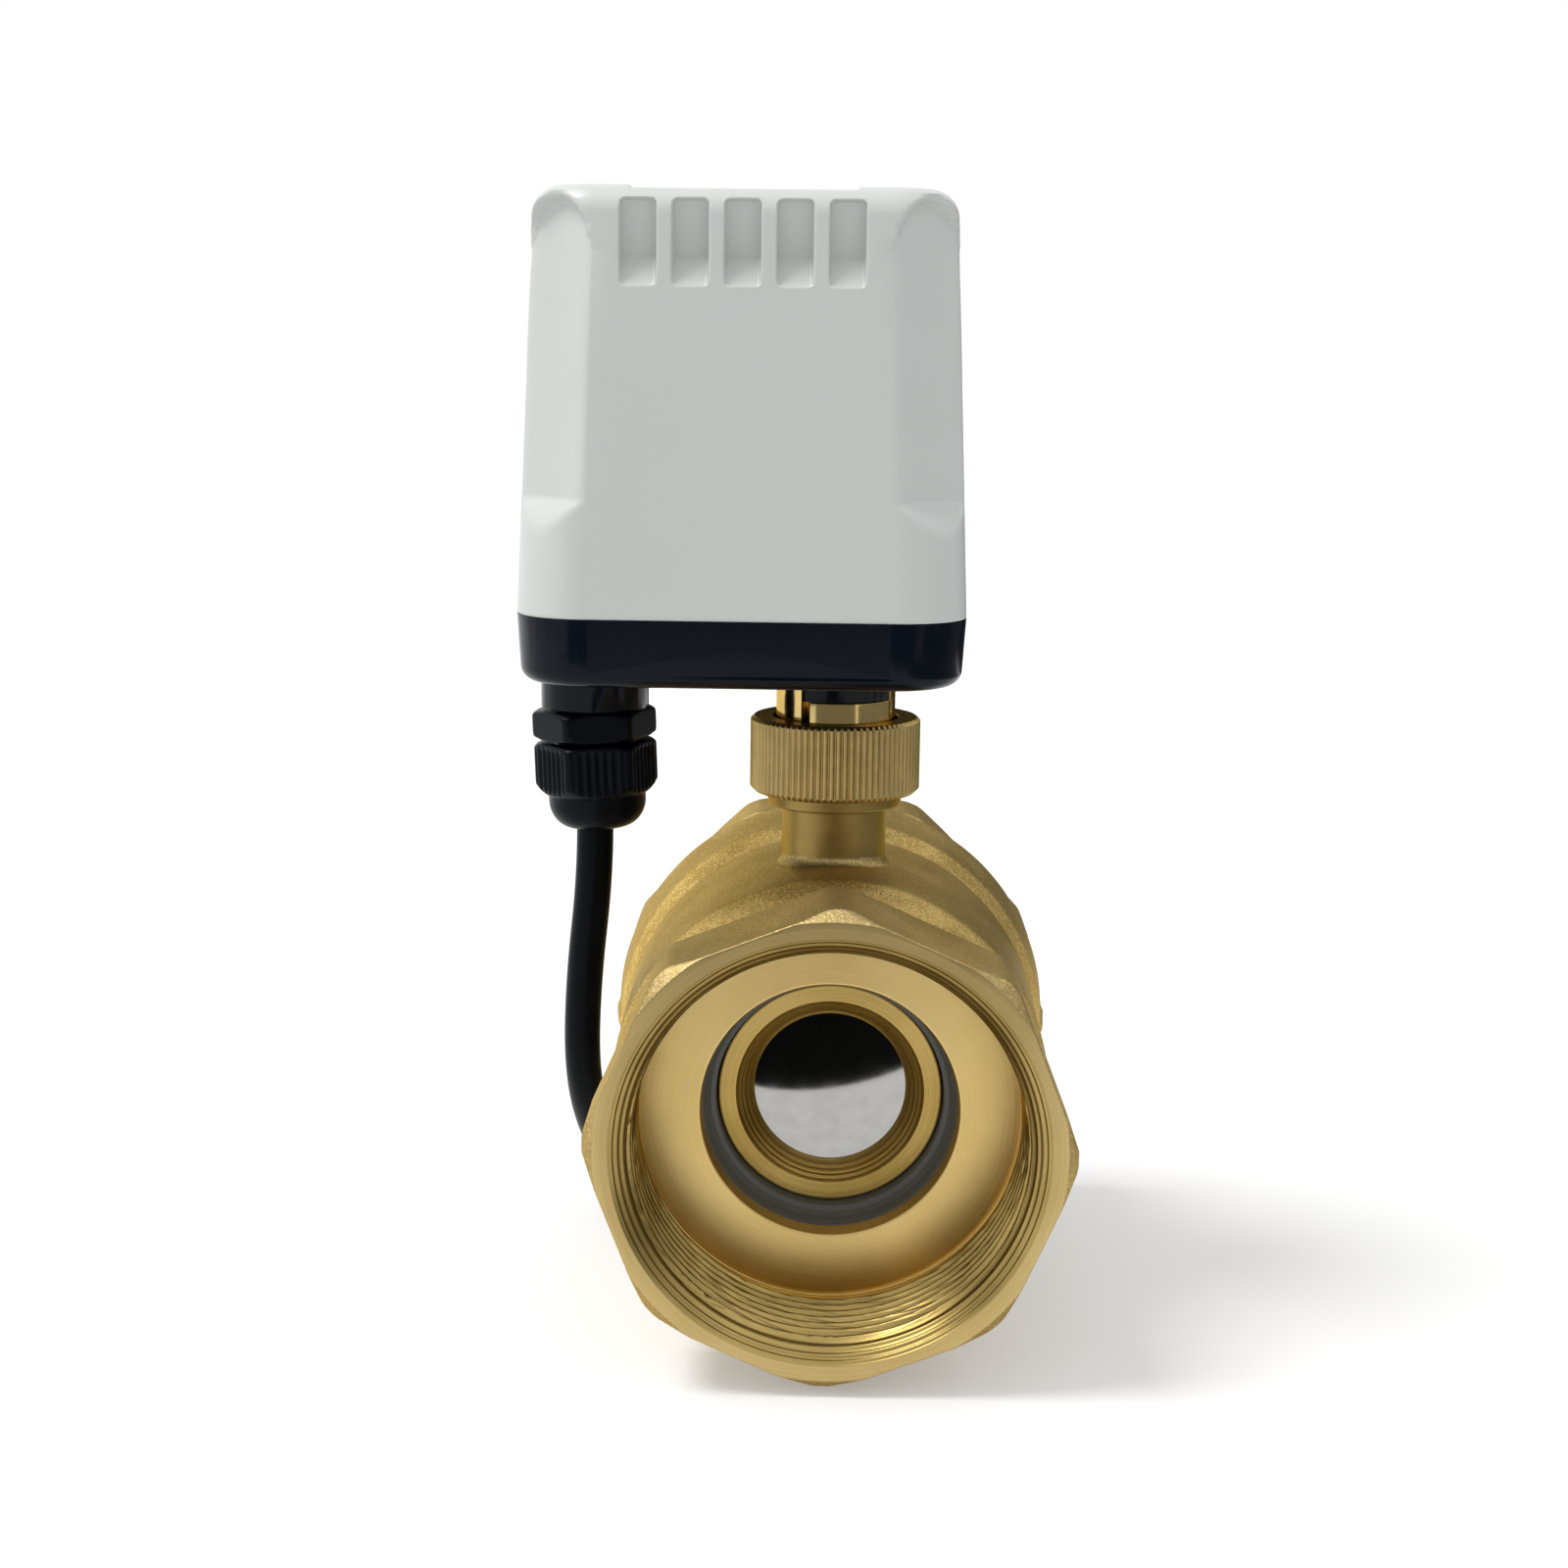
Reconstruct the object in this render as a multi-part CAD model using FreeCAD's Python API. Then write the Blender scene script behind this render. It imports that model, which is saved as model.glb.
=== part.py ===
import FreeCAD, Part
import math
import os

# Motorized ball valve: brass body with a screwed end cap, quarter-turn ball, union nut and gear actuator.
# Millimetres. Origin: centre of the front port's mouth. +Y runs along the pipe, +Z up the stem.

# Valve body
face_to_face = 95.0
port_bore_r = 29.3
port_depth = 20.7
port_chamfer = 1.3
front_octagon_width = 16.5
front_octagon_flats = 66.5
front_octagon_twist = -1.3
rear_octagon_flats = 68.3
rear_octagon_twist = 22.5
front_corner_r = 35.4
rear_corner_r = 36.4
corner_chamfer = 1.9
corner_chamfer_rise = 1.5
shoulder_foot_r = 31.4
waist_r = 33.6
waist_rear_r = 33.9
ring_front_r = 35.3
ring_rear_r = 36.4
shoulder_length = 13.5
waist_length = 32.5
rise_length = 5.5
ring_length = 12.0
cap_socket_r = 32.5
cap_gap = 0.3
cap_shoulder = 0.5
gasket_thickness = 1.0
seal_bore_r = 19.4
cavity_gap = 0.5
parting_ridge = 0.5

# Neck and stem
neck_r = 8.15
neck_foot_flare = 1.0
neck_head_r = 10.48
neck_head_bottom = 42.1
neck_top = 51.0
stem_r = 5.55
stem_flange_r = 7.1
stem_flange_height = 3.2
stem_washer_height = 1.2
stem_above_neck = 7.0
stem_flats = 7.0
o_ring_seat_r = 3.95
o_ring_pitch = 5.0

# Ball and seats
ball_r = 18.1
ball_bore_r = 11.25
ball_slot_width = 6.0
ball_slot_depth = 4.0
seat_gap = 0.15
retainer_gap = 0.35
retainer_nose = 3.4
throat_gap = 0.3
retainer_r = 17.15
retainer_mouth_r = 14.5
retainer_throat_r = 11.7
retainer_wall = 1.25
retainer_lip = 0.7
retainer_floor = 0.9
seal_ring_lead = 2.0

# Union nut and bush
nut_r = 13.3
nut_bottom = 44.2
nut_top = 56.0
nut_lip = 2.4
nut_lip_bore_r = 9.75
nut_flutes = 80
flute_depth = 0.35
nut_chamfer = 0.5
bush_r = 9.3
bush_shoulder_z = 59.1
bush_sleeve_r = 8.0
bush_slit_width = 1.43
bush_slit_angle = 240.0
bush_key_span = 80.0
clip_height = 1.1
clip_depth = 0.45
clip_overhang = 1.0
clip_opening = 40.0

# Actuator housing
housing_right = 19.0
housing_width = 66.4
housing_depth = 60.0
housing_corner_r = 11.0
base_bottom = 63.6
joint_z = 73.6
cover_top = 135.0
cover_draft = 2.55
base_draft = 0.6
base_wall = 3.0
base_floor = 2.5
base_edge_r = 2.4
cover_wall = 2.4
cover_edge_r = 4.0
vent_count = 5
vent_pitch = 7.4
vent_width = 4.8
vent_bottom = 120.8
vent_height = 11.8
vent_ledge = 4.4
vent_depth = 3.2
recess_width = 9.8
recess_bottom = 90.6
recess_scoop_slope = 2.0
recess_top = 132.6
label_recess_width = 32.4
label_recess_depth = 0.55
screw_inset_x = 7.1
screw_inset_y = 7.5
screw_post_r = 3.3
cover_post_height = 8.5
screw_r = 1.5
screw_head_r = 2.9
screw_head_height = 2.0
gasket_width = 1.0
gasket_depth = 1.2

# Cable gland
gland_inset = 9.7
gland_boss_r = 8.4
gland_boss_bottom = 57.0
gland_thread_r = 6.0
gland_flange_flats = 17.2
gland_flange_height = 4.6
gland_nut_flats = 17.2
gland_nut_top = 51.9
gland_nut_height = 8.4
gland_dome_r = 7.65
gland_mouth_z = 38.2
gland_turn = 10.0
cable_r = 2.9

# Gear train, drive first: tooth counts, modules and angles of the centre lines
output_teeth = 36
wheel_teeth = 40
motor_wheel_teeth = 36
pinion_teeth = 10
output_module = 0.8
middle_module = 0.6
motor_module = 0.5
middle_angle = 155.0
first_angle = -108.0
motor_angle = -130.0
output_gear_z = 68.8
gear_width = 5.0
wheel_width = 2.6
gear_step = 0.7
mesh_slack = 0.08
axle_r = 1.5
running_gap = 0.05
plate_thickness = 1.5
plate_post_r = 2.8
plate_posts = ((-29.5, 19.0), (2.0, 19.3), (-12.0, -20.0), (2.0, -19.3))
plate_x = (-34.5, 8.5)
plate_half_depth = 22.5
motor_r = 7.5
motor_height = 26.0
plate_screw_r = 1.1
plate_screw_length = 7.0

# Control board
cam_r = 6.2
cam_lobe = 0.9
cam_height = 5.0
switch_size = (12.8, 6.5, 6.0)
switch_gap = 0.3
board_z = 101.0
board_thickness = 1.6
board_x = (-16.5, 9.5)
board_half_depth = 16.0
standoffs = ((-13.5, 13.0), (-13.5, -13.0), (6.3, -12.5))
standoff_r = 1.8
relay_size = (15.0, 10.0, 10.5)
terminal_size = (15.0, 7.5, 9.0)
capacitor_r = 4.0
capacitor_height = 12.0

# Cable, chosen by hand down to the coil, which winds in behind the body
cable_run = (
    (-39.8, 49.6, 12.5),
    (-40.6, 53.5, -4.5),
    (-39.0, 65.0, -19.0),
    (-36.4, 82.0, -29.5),
    (-34.0, 106.0, -33.5),
    (-34.0, 128.5, -33.5),
)
cable_straight = 8.2
arc_share = 0.45
coil_pitch = 6.4
coil_half_turns = 3
wire_r = 0.75
wire_spacing = 1.8
wire_bend_r = 14.0
wire_bend = 60.0

ball_y = face_to_face / 2
housing_x = housing_right - housing_width / 2
gland_x = housing_right - housing_width + gland_inset
cable_top = ((gland_x, ball_y, gland_mouth_z), (gland_x, ball_y, gland_mouth_z - cable_straight))
cable_points = cable_top + cable_run
up = FreeCAD.Vector(0, 0, 1)
along = FreeCAD.Vector(0, 1, 0)
floor_z = base_bottom + base_floor


def vec(x, y, z):
    return FreeCAD.Vector(x, y, z)


def tube(outer, inner, bottom, top, x=0.0, y=ball_y):
    """A ring with a vertical axis."""
    ring = Part.makeCylinder(outer, top - bottom, vec(x, y, bottom))
    return ring.cut(Part.makeCylinder(inner, top - bottom, vec(x, y, bottom)))


def rod(radius, bottom, top, x=0.0, y=ball_y):
    return Part.makeCylinder(radius, top - bottom, vec(x, y, bottom))


def turned_along_pipe(section):
    """Revolves (y, radius) points about the pipe axis."""
    corners = [vec(0, y, r) for y, r in section]
    return Part.Face(Part.makePolygon(corners + corners[:1])).revolve(vec(0, 0, 0), along, 360)


def turned_upright(section, x=0.0, y=ball_y):
    """Revolves (radius, z) points about a vertical axis."""
    corners = [vec(x + r, y, z) for r, z in section]
    return Part.Face(Part.makePolygon(corners + corners[:1])).revolve(vec(x, y, 0), up, 360)


def regular_prism(flats, sides, start, length, direction, turn, centre):
    """A prism with a given width across its flats; turn 0 puts a corner on the first axis."""
    corner = flats / 2 / math.cos(math.pi / sides)
    points = []
    for i in range(sides + 1):
        a = math.radians(turn) + 2 * math.pi * i / sides
        across, other = corner * math.cos(a), corner * math.sin(a)
        if direction == along:
            points.append(centre + vec(across, start, other))
        else:
            points.append(centre + vec(across, other, start))
    return Part.Face(Part.makePolygon(points)).extrude(direction * length)


def at_rear(shape):
    return shape.mirror(vec(0, ball_y, 0), along)


def rounded_wire(width, depth, radius, z, x=housing_x, y=ball_y):
    """A rectangle with round corners, in plan."""
    w, d, k = width / 2, depth / 2, radius * math.sqrt(0.5)
    edges = []
    for i, (sx, sy) in enumerate(((1, 1), (-1, 1), (-1, -1), (1, -1))):
        cx, cy = x + sx * (w - radius), y + sy * (d - radius)
        ends = [vec(cx + sx * radius, cy, z), vec(cx, cy + sy * radius, z)]
        if i % 2:
            ends.reverse()
        edges.append(Part.Arc(ends[0], vec(cx + sx * k, cy + sy * k, z), ends[1]).toShape())
    corners = [(e.Vertexes[0].Point, e.Vertexes[-1].Point) for e in edges]
    sides = []
    for i in range(4):
        sides.append(edges[i])
        sides.append(Part.LineSegment(corners[i][1], corners[(i + 1) % 4][0]).toShape())
    return Part.Wire(sides)


def rounded_block(lower, upper, radius, bottom, top, x=housing_x, y=ball_y):
    """A block that tapers from one rounded rectangle to another."""
    shrink = (lower[0] - upper[0]) / 2
    wires = [rounded_wire(lower[0], lower[1], radius, bottom, x, y),
             rounded_wire(upper[0], upper[1], radius - shrink / 2, top, x, y)]
    return Part.makeLoft(wires, True, True)


def edges_at(shape, z, tolerance=0.01):
    level = [(e, e.BoundBox) for e in shape.Edges]
    return [e for e, box in level if max(abs(box.ZMin - z), abs(box.ZMax - z)) < tolerance]


# Valve body and end cap

def octagon_end(flats, width, turn, corner_r):
    """The octagon at a port, at the front, its corners turned off and chamfered at the mouth."""
    prism = regular_prism(flats, 8, 0, width, along, turn, vec(0, 0, 0))
    turning = turned_along_pipe([(0, 0), (0, corner_r - corner_chamfer_rise), (corner_chamfer, corner_r),
                                 (width, corner_r), (width, 0)])
    return prism.common(turning)


def port_hole():
    """The threaded port at the front, left plain at its thread's mean size."""
    return turned_along_pipe([(0, 0), (0, port_bore_r + port_chamfer), (port_chamfer, port_bore_r),
                              (port_depth, port_bore_r), (port_depth, 0)])


def body_stations():
    """The y of each change of the body's outline behind the front octagon."""
    shoulder = front_octagon_width + shoulder_length
    waist = shoulder + waist_length
    rise = waist + rise_length
    return shoulder, waist, rise, rise + ring_length


def cap_socket_floor():
    return body_stations()[2] - gasket_thickness + cap_shoulder


def retainer_end():
    """The retainer's rear edge, just short of the ball."""
    edge_r = retainer_r - retainer_wall
    return ball_y - math.sqrt(ball_r ** 2 - edge_r ** 2) - retainer_gap


def throat_y():
    """The narrow end of the retainer's cone."""
    return ball_y - math.sqrt(ball_r ** 2 - retainer_throat_r ** 2) - throat_gap


def retainer_face():
    return throat_y() - retainer_nose


def cavity_r():
    return ball_r + cavity_gap


def neck():
    foot = waist_r - parting_ridge
    return turned_upright([(0, 0), (neck_r + 2 * neck_foot_flare, 0),
                           (neck_r + 2 * neck_foot_flare, foot - neck_foot_flare),
                           (neck_r + neck_foot_flare / 2, foot + neck_foot_flare / 3),
                           (neck_r, foot + 1.5 * neck_foot_flare), (neck_r, neck_head_bottom),
                           (neck_head_r, neck_head_bottom), (neck_head_r, neck_top), (0, neck_top)])


def valve_body():
    shoulder, waist, rise, rear = body_stations()
    front = front_octagon_width
    outline = [(front - 1, 0), (front - 1, shoulder_foot_r), (front + 1, shoulder_foot_r),
               (shoulder, waist_r), (waist, waist_rear_r),
               (rise, ring_front_r), (rear - 0.6, ring_rear_r), (rear, ring_rear_r - 0.6), (rear, 0)]
    ridge_r = waist_r + parting_ridge
    ridge = Part.makeBox(2 * ridge_r, rise - shoulder, 2.0, vec(-ridge_r, shoulder, -1.0))
    solid = octagon_end(front_octagon_flats, front, front_octagon_twist, front_corner_r)
    solid = solid.fuse([turned_along_pipe(outline), ridge, neck()])
    floor = cap_socket_floor()
    middle = [(port_depth, 0), (port_depth, seal_bore_r), (retainer_end() + 0.1, seal_bore_r),
              (retainer_end() + 0.1, cavity_r()), (face_to_face - retainer_end() - 0.1, cavity_r()),
              (face_to_face - retainer_end() - 0.1, seal_bore_r), (floor, seal_bore_r),
              (floor, cap_socket_r), (rear, cap_socket_r), (rear, 0)]
    stem_hole = rod(stem_r + running_gap, 0, neck_top)
    pocket = rod(stem_flange_r + 0.15, 0, stem_pocket_top())
    return solid.cut([port_hole(), turned_along_pipe(middle), stem_hole, pocket]).removeSplitter()


def end_cap():
    """Made at the front and mirrored to the rear."""
    front_of_flats = face_to_face - body_stations()[3] - cap_gap
    spigot_end = face_to_face - cap_socket_floor() - gasket_thickness
    solid = octagon_end(rear_octagon_flats, front_of_flats, rear_octagon_twist, rear_corner_r)
    spigot = turned_along_pipe([(front_of_flats - 1, 0), (front_of_flats - 1, cap_socket_r - running_gap),
                                (spigot_end, cap_socket_r - running_gap), (spigot_end, 0)])
    through = turned_along_pipe([(0, 0), (0, seal_bore_r), (spigot_end, seal_bore_r), (spigot_end, 0)])
    return at_rear(solid.fuse(spigot).cut([port_hole(), through]).removeSplitter())


def end_cap_gasket():
    floor = cap_socket_floor()
    inner, outer = seal_bore_r + 1.5, cap_socket_r - 0.2
    return turned_along_pipe([(floor, inner), (floor, outer), (floor + gasket_thickness, outer),
                              (floor + gasket_thickness, inner)])


# Ball, seats and stem

def ball():
    centre = vec(0, ball_y, 0)
    sphere = Part.makeSphere(ball_r, centre)
    bore = Part.makeCylinder(ball_bore_r, 2 * ball_r, vec(-ball_r, ball_y, 0), vec(1, 0, 0))
    slot = Part.makeBox(ball_slot_width, 2 * ball_r, ball_slot_depth + 1,
                        vec(-ball_slot_width / 2, ball_y - ball_r, ball_r - ball_slot_depth))
    return sphere.cut([bore, slot])


def seat_pocket_r():
    return retainer_throat_r + retainer_lip, retainer_r - retainer_wall


def seat_retainer():
    """The brass ring whose rear pocket holds the soft seat."""
    inner, outer = seat_pocket_r()
    face, throat, end = retainer_face(), throat_y(), retainer_end()
    floor = throat - retainer_floor
    return turned_along_pipe([(face, retainer_mouth_r), (face, retainer_r), (end, retainer_r), (end, outer),
                              (floor, outer), (floor, inner), (throat, inner), (throat, retainer_throat_r)])


def seat():
    inner, outer = seat_pocket_r()
    front = throat_y() - retainer_floor
    back = retainer_end() - 0.2
    block = turned_along_pipe([(front, inner), (front, outer), (back, outer), (back, inner)])
    return block.cut(Part.makeSphere(ball_r + seat_gap, vec(0, ball_y, 0)))


def seal_ring():
    """The dark ring between the retainer and the body."""
    inner, outer, edge = retainer_r, seal_bore_r, 0.5
    front, end = retainer_face() - seal_ring_lead, retainer_end()
    return turned_along_pipe([(front, inner + edge), (front, outer - edge), (front + edge, outer),
                              (end, outer), (end, inner), (front + edge, inner)])


def stem_flange_bottom():
    return ball_r + 0.3


def stem_washer_bottom():
    return stem_flange_bottom() + stem_flange_height + running_gap


def stem_pocket_top():
    return stem_washer_bottom() + stem_washer_height


def o_ring_heights():
    first = stem_pocket_top() + o_ring_pitch
    return [first, first + o_ring_pitch]


def o_ring_wire_r():
    return (stem_r - o_ring_seat_r) / 2


def double_flat(radius, flats, bottom, top):
    """A round bar with two flats, the flats facing along the pipe."""
    bar = rod(radius, bottom, top)
    slab = Part.makeBox(2 * radius, flats, top - bottom, vec(-radius, ball_y - flats / 2, bottom))
    return bar.common(slab)


def stem():
    bottom = stem_flange_bottom()
    tang_bottom = ball_r - ball_slot_depth + 0.2
    width, length = ball_slot_width - 0.2, 2 * stem_flange_r * 0.85
    tang = Part.makeBox(width, length, bottom - tang_bottom + 0.5,
                        vec(-width / 2, ball_y - length / 2, tang_bottom))
    bar = rod(stem_flange_r, bottom, bottom + stem_flange_height).fuse(rod(stem_r, bottom, neck_top - 0.4))
    key = double_flat(stem_r - 0.5, stem_flats, neck_top - 0.6, neck_top + stem_above_neck)
    half = o_ring_wire_r() + 0.2
    grooves = [tube(stem_r + 1, o_ring_seat_r, z - half, z + half) for z in o_ring_heights()]
    return bar.fuse([tang, key]).cut(grooves).removeSplitter()


def stem_o_rings():
    middle = (stem_r + o_ring_seat_r) / 2
    rings = [Part.makeTorus(middle, o_ring_wire_r() - 0.01, vec(0, ball_y, z)) for z in o_ring_heights()]
    return Part.makeCompound(rings)


def stem_washer():
    bottom = stem_washer_bottom()
    return tube(stem_flange_r + 0.1, stem_r + running_gap, bottom, bottom + stem_washer_height)


# Union nut, bush and output shaft

def fluted_disc(radius, depth, flutes, bottom, top):
    """A grip with straight flutes, two points to each."""
    points = []
    for i in range(2 * flutes + 1):
        a = math.pi * i / flutes
        r = radius - depth * (i % 2)
        points.append(vec(r * math.cos(a), ball_y + r * math.sin(a), bottom))
    return Part.Face(Part.makePolygon(points)).extrude(up * (top - bottom))


def union_nut():
    grip = fluted_disc(nut_r, flute_depth, nut_flutes, nut_bottom, nut_top)
    edge = nut_r - nut_chamfer
    turning = turned_upright([(0, nut_bottom), (edge, nut_bottom), (nut_r, nut_bottom + nut_chamfer),
                              (nut_r, nut_top - nut_chamfer), (edge, nut_top), (0, nut_top)])
    thread = rod(neck_head_r + running_gap, nut_bottom, nut_top - nut_lip)
    return grip.common(turning).cut([thread, rod(nut_lip_bore_r, nut_bottom, nut_top)])


def clip_top():
    return nut_top - nut_lip - 0.1


def clip_ring(inner, outer, slack):
    return tube(outer, inner, clip_top() - clip_height - slack, clip_top() + slack)


def sector(angle, span, radius, bottom, top):
    """A wedge about the stem axis, centred on an angle in degrees."""
    turn = math.radians(angle - span / 2)
    return Part.makeCylinder(radius, top - bottom, vec(0, ball_y, bottom), up, span).copy().rotated(
        vec(0, ball_y, 0), up, math.degrees(turn))


def nut_retaining_clip():
    inner = bush_r - clip_depth
    ring = clip_ring(inner, bush_r + clip_overhang, 0)
    return ring.cut(sector(0, clip_opening, 2 * bush_r, clip_top() - clip_height, clip_top()))


def bush_keys(slack=0.0):
    """The keys that stand up into the base's boss, beside the slit and opposite it."""
    top = base_bottom + slack
    span = bush_key_span + 2 * slack * 180 / math.pi / bush_r
    keys = []
    for turn in (0, 180):
        middle = bush_slit_angle - bush_key_span / 2 - 4.5 + turn
        keys.append(sector(middle, span, bush_r + slack, bush_shoulder_z - slack, top))
    return keys


def actuator_bush():
    """The slotted brass collar: it hangs the nut and keys the actuator."""
    bottom = neck_top + running_gap
    collar = rod(bush_r, bottom, bush_shoulder_z)
    solid = collar.fuse(bush_keys() + [rod(bush_sleeve_r, bush_shoulder_z - 1, floor_z + 1.9)])
    slit = Part.makeBox(2 * bush_r, bush_slit_width, base_bottom - nut_top + 2.0,
                        vec(bush_sleeve_r - 0.4, ball_y - bush_slit_width / 2, nut_top - 2.0))
    slit.rotate(vec(0, ball_y, 0), up, bush_slit_angle)
    groove = clip_ring(bush_r - clip_depth - running_gap, bush_r + 1, running_gap)
    hole = rod(shaft_r() + running_gap, bottom, floor_z + 3)
    return solid.cut([slit, groove, hole]).removeSplitter()


def shaft_r():
    return bush_sleeve_r - 1.5


def output_shaft():
    """Socket for the stem at the foot, then seats for the gear and the cam."""
    bottom, shoulder = neck_top + 0.4, output_gear_z - 0.1
    solid = rod(shaft_r(), bottom, shoulder)
    solid = solid.fuse([rod(output_seat_r(), shoulder - 1, plate_z() - 0.2),
                        rod(cam_seat_r(), plate_z() - 1, cam_z() + cam_height + 1.5)])
    socket = double_flat(stem_r - 0.5 + running_gap, stem_flats + 2 * running_gap, bottom,
                         neck_top + stem_above_neck + 0.5)
    return solid.cut(socket)


def output_seat_r():
    return shaft_r() - 1.5


def cam_seat_r():
    return shaft_r() - 2.5


# Gear train

def centre_distance(module, wheel, pinion):
    return module * (wheel + pinion) / 2 + mesh_slack


def train_centres():
    """The axes of the middle gear, the first gear and the motor, stepping away from the stem."""
    centres = []
    x, y = 0.0, ball_y
    for angle, gap in ((middle_angle, centre_distance(output_module, output_teeth, pinion_teeth)),
                       (first_angle, centre_distance(middle_module, wheel_teeth, pinion_teeth)),
                       (motor_angle, centre_distance(motor_module, motor_wheel_teeth, pinion_teeth))):
        x += gap * math.cos(math.radians(angle))
        y += gap * math.sin(math.radians(angle))
        centres.append((x, y))
    return centres


def gear(teeth, module, x, y, bottom, top, tooth_at):
    """A spur gear of straight-sided teeth with backlash, one tooth centred on the angle tooth_at."""
    pitch_r = teeth * module / 2
    half = math.pi / teeth / 2
    root, tip = pitch_r - 1.2 * module, pitch_r + 0.9 * module
    profile = ((root, -1.45 * half), (pitch_r, -0.86 * half), (tip, -0.38 * half),
               (tip, 0.38 * half), (pitch_r, 0.86 * half), (root, 1.45 * half))
    points = []
    for i in range(teeth):
        turn = math.radians(tooth_at) + 2 * math.pi * i / teeth
        for r, a in profile:
            points.append(vec(x + r * math.cos(turn + a), y + r * math.sin(turn + a), bottom))
    return Part.Face(Part.makePolygon(points + points[:1])).extrude(up * (top - bottom))


def gear_levels():
    """Bottom of the output gear and of the two wheels above it."""
    middle = output_gear_z + gear_width + gear_step
    return output_gear_z, middle, middle + wheel_width + gear_step + 1.2


def plate_z():
    return gear_levels()[2] + wheel_width + gear_step


def cam_z():
    return plate_z() + plate_thickness + 0.8


def half_tooth():
    return 180.0 / pinion_teeth


def output_gear():
    bottom = gear_levels()[0]
    teeth = gear(output_teeth, output_module, 0, ball_y, bottom, bottom + gear_width, middle_angle)
    return teeth.cut(rod(output_seat_r() + 0.02, bottom, bottom + gear_width))


def middle_gear():
    (x, y), levels = train_centres()[0], gear_levels()
    meshing = middle_angle + 180 + half_tooth()
    pinion = gear(pinion_teeth, output_module, x, y, levels[0], levels[1] + 0.5, meshing)
    wheel = gear(wheel_teeth, middle_module, x, y, levels[1], levels[1] + wheel_width, first_angle)
    return pinion.fuse(wheel).cut(rod(axle_r + running_gap, levels[0], levels[2], x, y))


def first_gear():
    (x, y), levels = train_centres()[1], gear_levels()
    meshing = first_angle + 180 + half_tooth()
    pinion = gear(pinion_teeth, middle_module, x, y, levels[1] - 0.4, levels[2] + 0.5, meshing)
    wheel = gear(motor_wheel_teeth, motor_module, x, y, levels[2], levels[2] + wheel_width, motor_angle)
    return pinion.fuse(wheel).cut(rod(axle_r + running_gap, levels[1] - 1, plate_z(), x, y))


def motor_pinion():
    x, y = train_centres()[2]
    bottom = gear_levels()[2] - 0.4
    meshing = motor_angle + 180 + half_tooth()
    teeth = gear(pinion_teeth, motor_module, x, y, bottom, plate_z() - 0.3, meshing)
    return teeth.cut(rod(motor_shaft_r() + 0.02, bottom, plate_z(), x, y))


def motor_shaft_r():
    return axle_r - 0.5


def motor_shaft():
    x, y = train_centres()[2]
    return rod(motor_shaft_r(), gear_levels()[2] - 0.2, plate_z() + plate_thickness + 6, x, y)


def motor():
    """A can motor that stands on the gear plate, its nose in the plate."""
    x, y = train_centres()[2]
    seat = plate_z() + plate_thickness
    can = rod(motor_r, seat, seat + motor_height, x, y)
    can = can.makeFillet(1.2, edges_at(can, seat + motor_height))
    nose = rod(motor_shaft_r() + 1.5, plate_z(), seat + 1, x, y)
    boss = rod(3.0, seat + motor_height - 1, seat + motor_height + 1.5, x, y)
    hole = rod(motor_shaft_r() + running_gap, plate_z() - 1, seat + 6.5, x, y)
    return can.fuse([nose, boss]).cut(hole)


def gear_axles():
    """Steel pins held in the base's bosses and in the gear plate."""
    pins = []
    for x, y in train_centres()[:2]:
        pins.append(rod(axle_r, floor_z, plate_z() + plate_thickness, x, y))
    return Part.makeCompound(pins)


def gear_plate():
    width, middle = plate_x[1] - plate_x[0], (plate_x[0] + plate_x[1]) / 2
    size = (width, 2 * plate_half_depth)
    solid = rounded_block(size, size, 5.0, plate_z(), plate_z() + plate_thickness, middle)
    holes = [rod(cam_seat_r() + running_gap, plate_z(), plate_z() + plate_thickness)]
    centres = train_centres()
    for x, y in centres[:2]:
        holes.append(rod(axle_r, plate_z(), plate_z() + plate_thickness, x, y))
    holes.append(rod(motor_shaft_r() + 1.55, plate_z(), plate_z() + plate_thickness, *centres[2]))
    for x, y in plate_posts:
        holes.append(rod(1.3, plate_z(), plate_z() + plate_thickness, x, ball_y + y))
    return solid.cut(holes)


def plate_screws():
    seat = plate_z() + plate_thickness
    screws = []
    for x, y in plate_posts:
        shank = rod(plate_screw_r, seat - plate_screw_length, seat + 0.5, x, ball_y + y)
        screws.append(shank.fuse(rod(2.1, seat, seat + 1.4, x, ball_y + y)))
    return Part.makeCompound(screws)


def limit_cam():
    """A disc whose lobe presses one switch when shut and the other when open."""
    disc = rod(cam_r, cam_z(), cam_z() + cam_height)
    lobe = sector(90, 100, cam_r + cam_lobe, cam_z(), cam_z() + cam_height)
    return disc.fuse(lobe).cut(rod(cam_seat_r() + 0.02, cam_z(), cam_z() + cam_height))


def limit_switches():
    """Two snap switches on the gear plate: behind the cam and on its left."""
    length, width, height = switch_size
    seat = plate_z() + plate_thickness
    near = cam_r + cam_lobe + switch_gap
    switches = []
    for turn in (0, 90):
        case = Part.makeBox(length, width, height, vec(-length / 2, ball_y + near + 1.0, seat))
        button = Part.makeBox(1.6, 1.5, 2.0, vec(-0.8, ball_y + near, seat + height / 2 - 1.0))
        switch = case.fuse(button)
        switch.rotate(vec(0, ball_y, 0), up, turn)
        switches.append(switch)
    return Part.makeCompound(switches)


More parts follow.
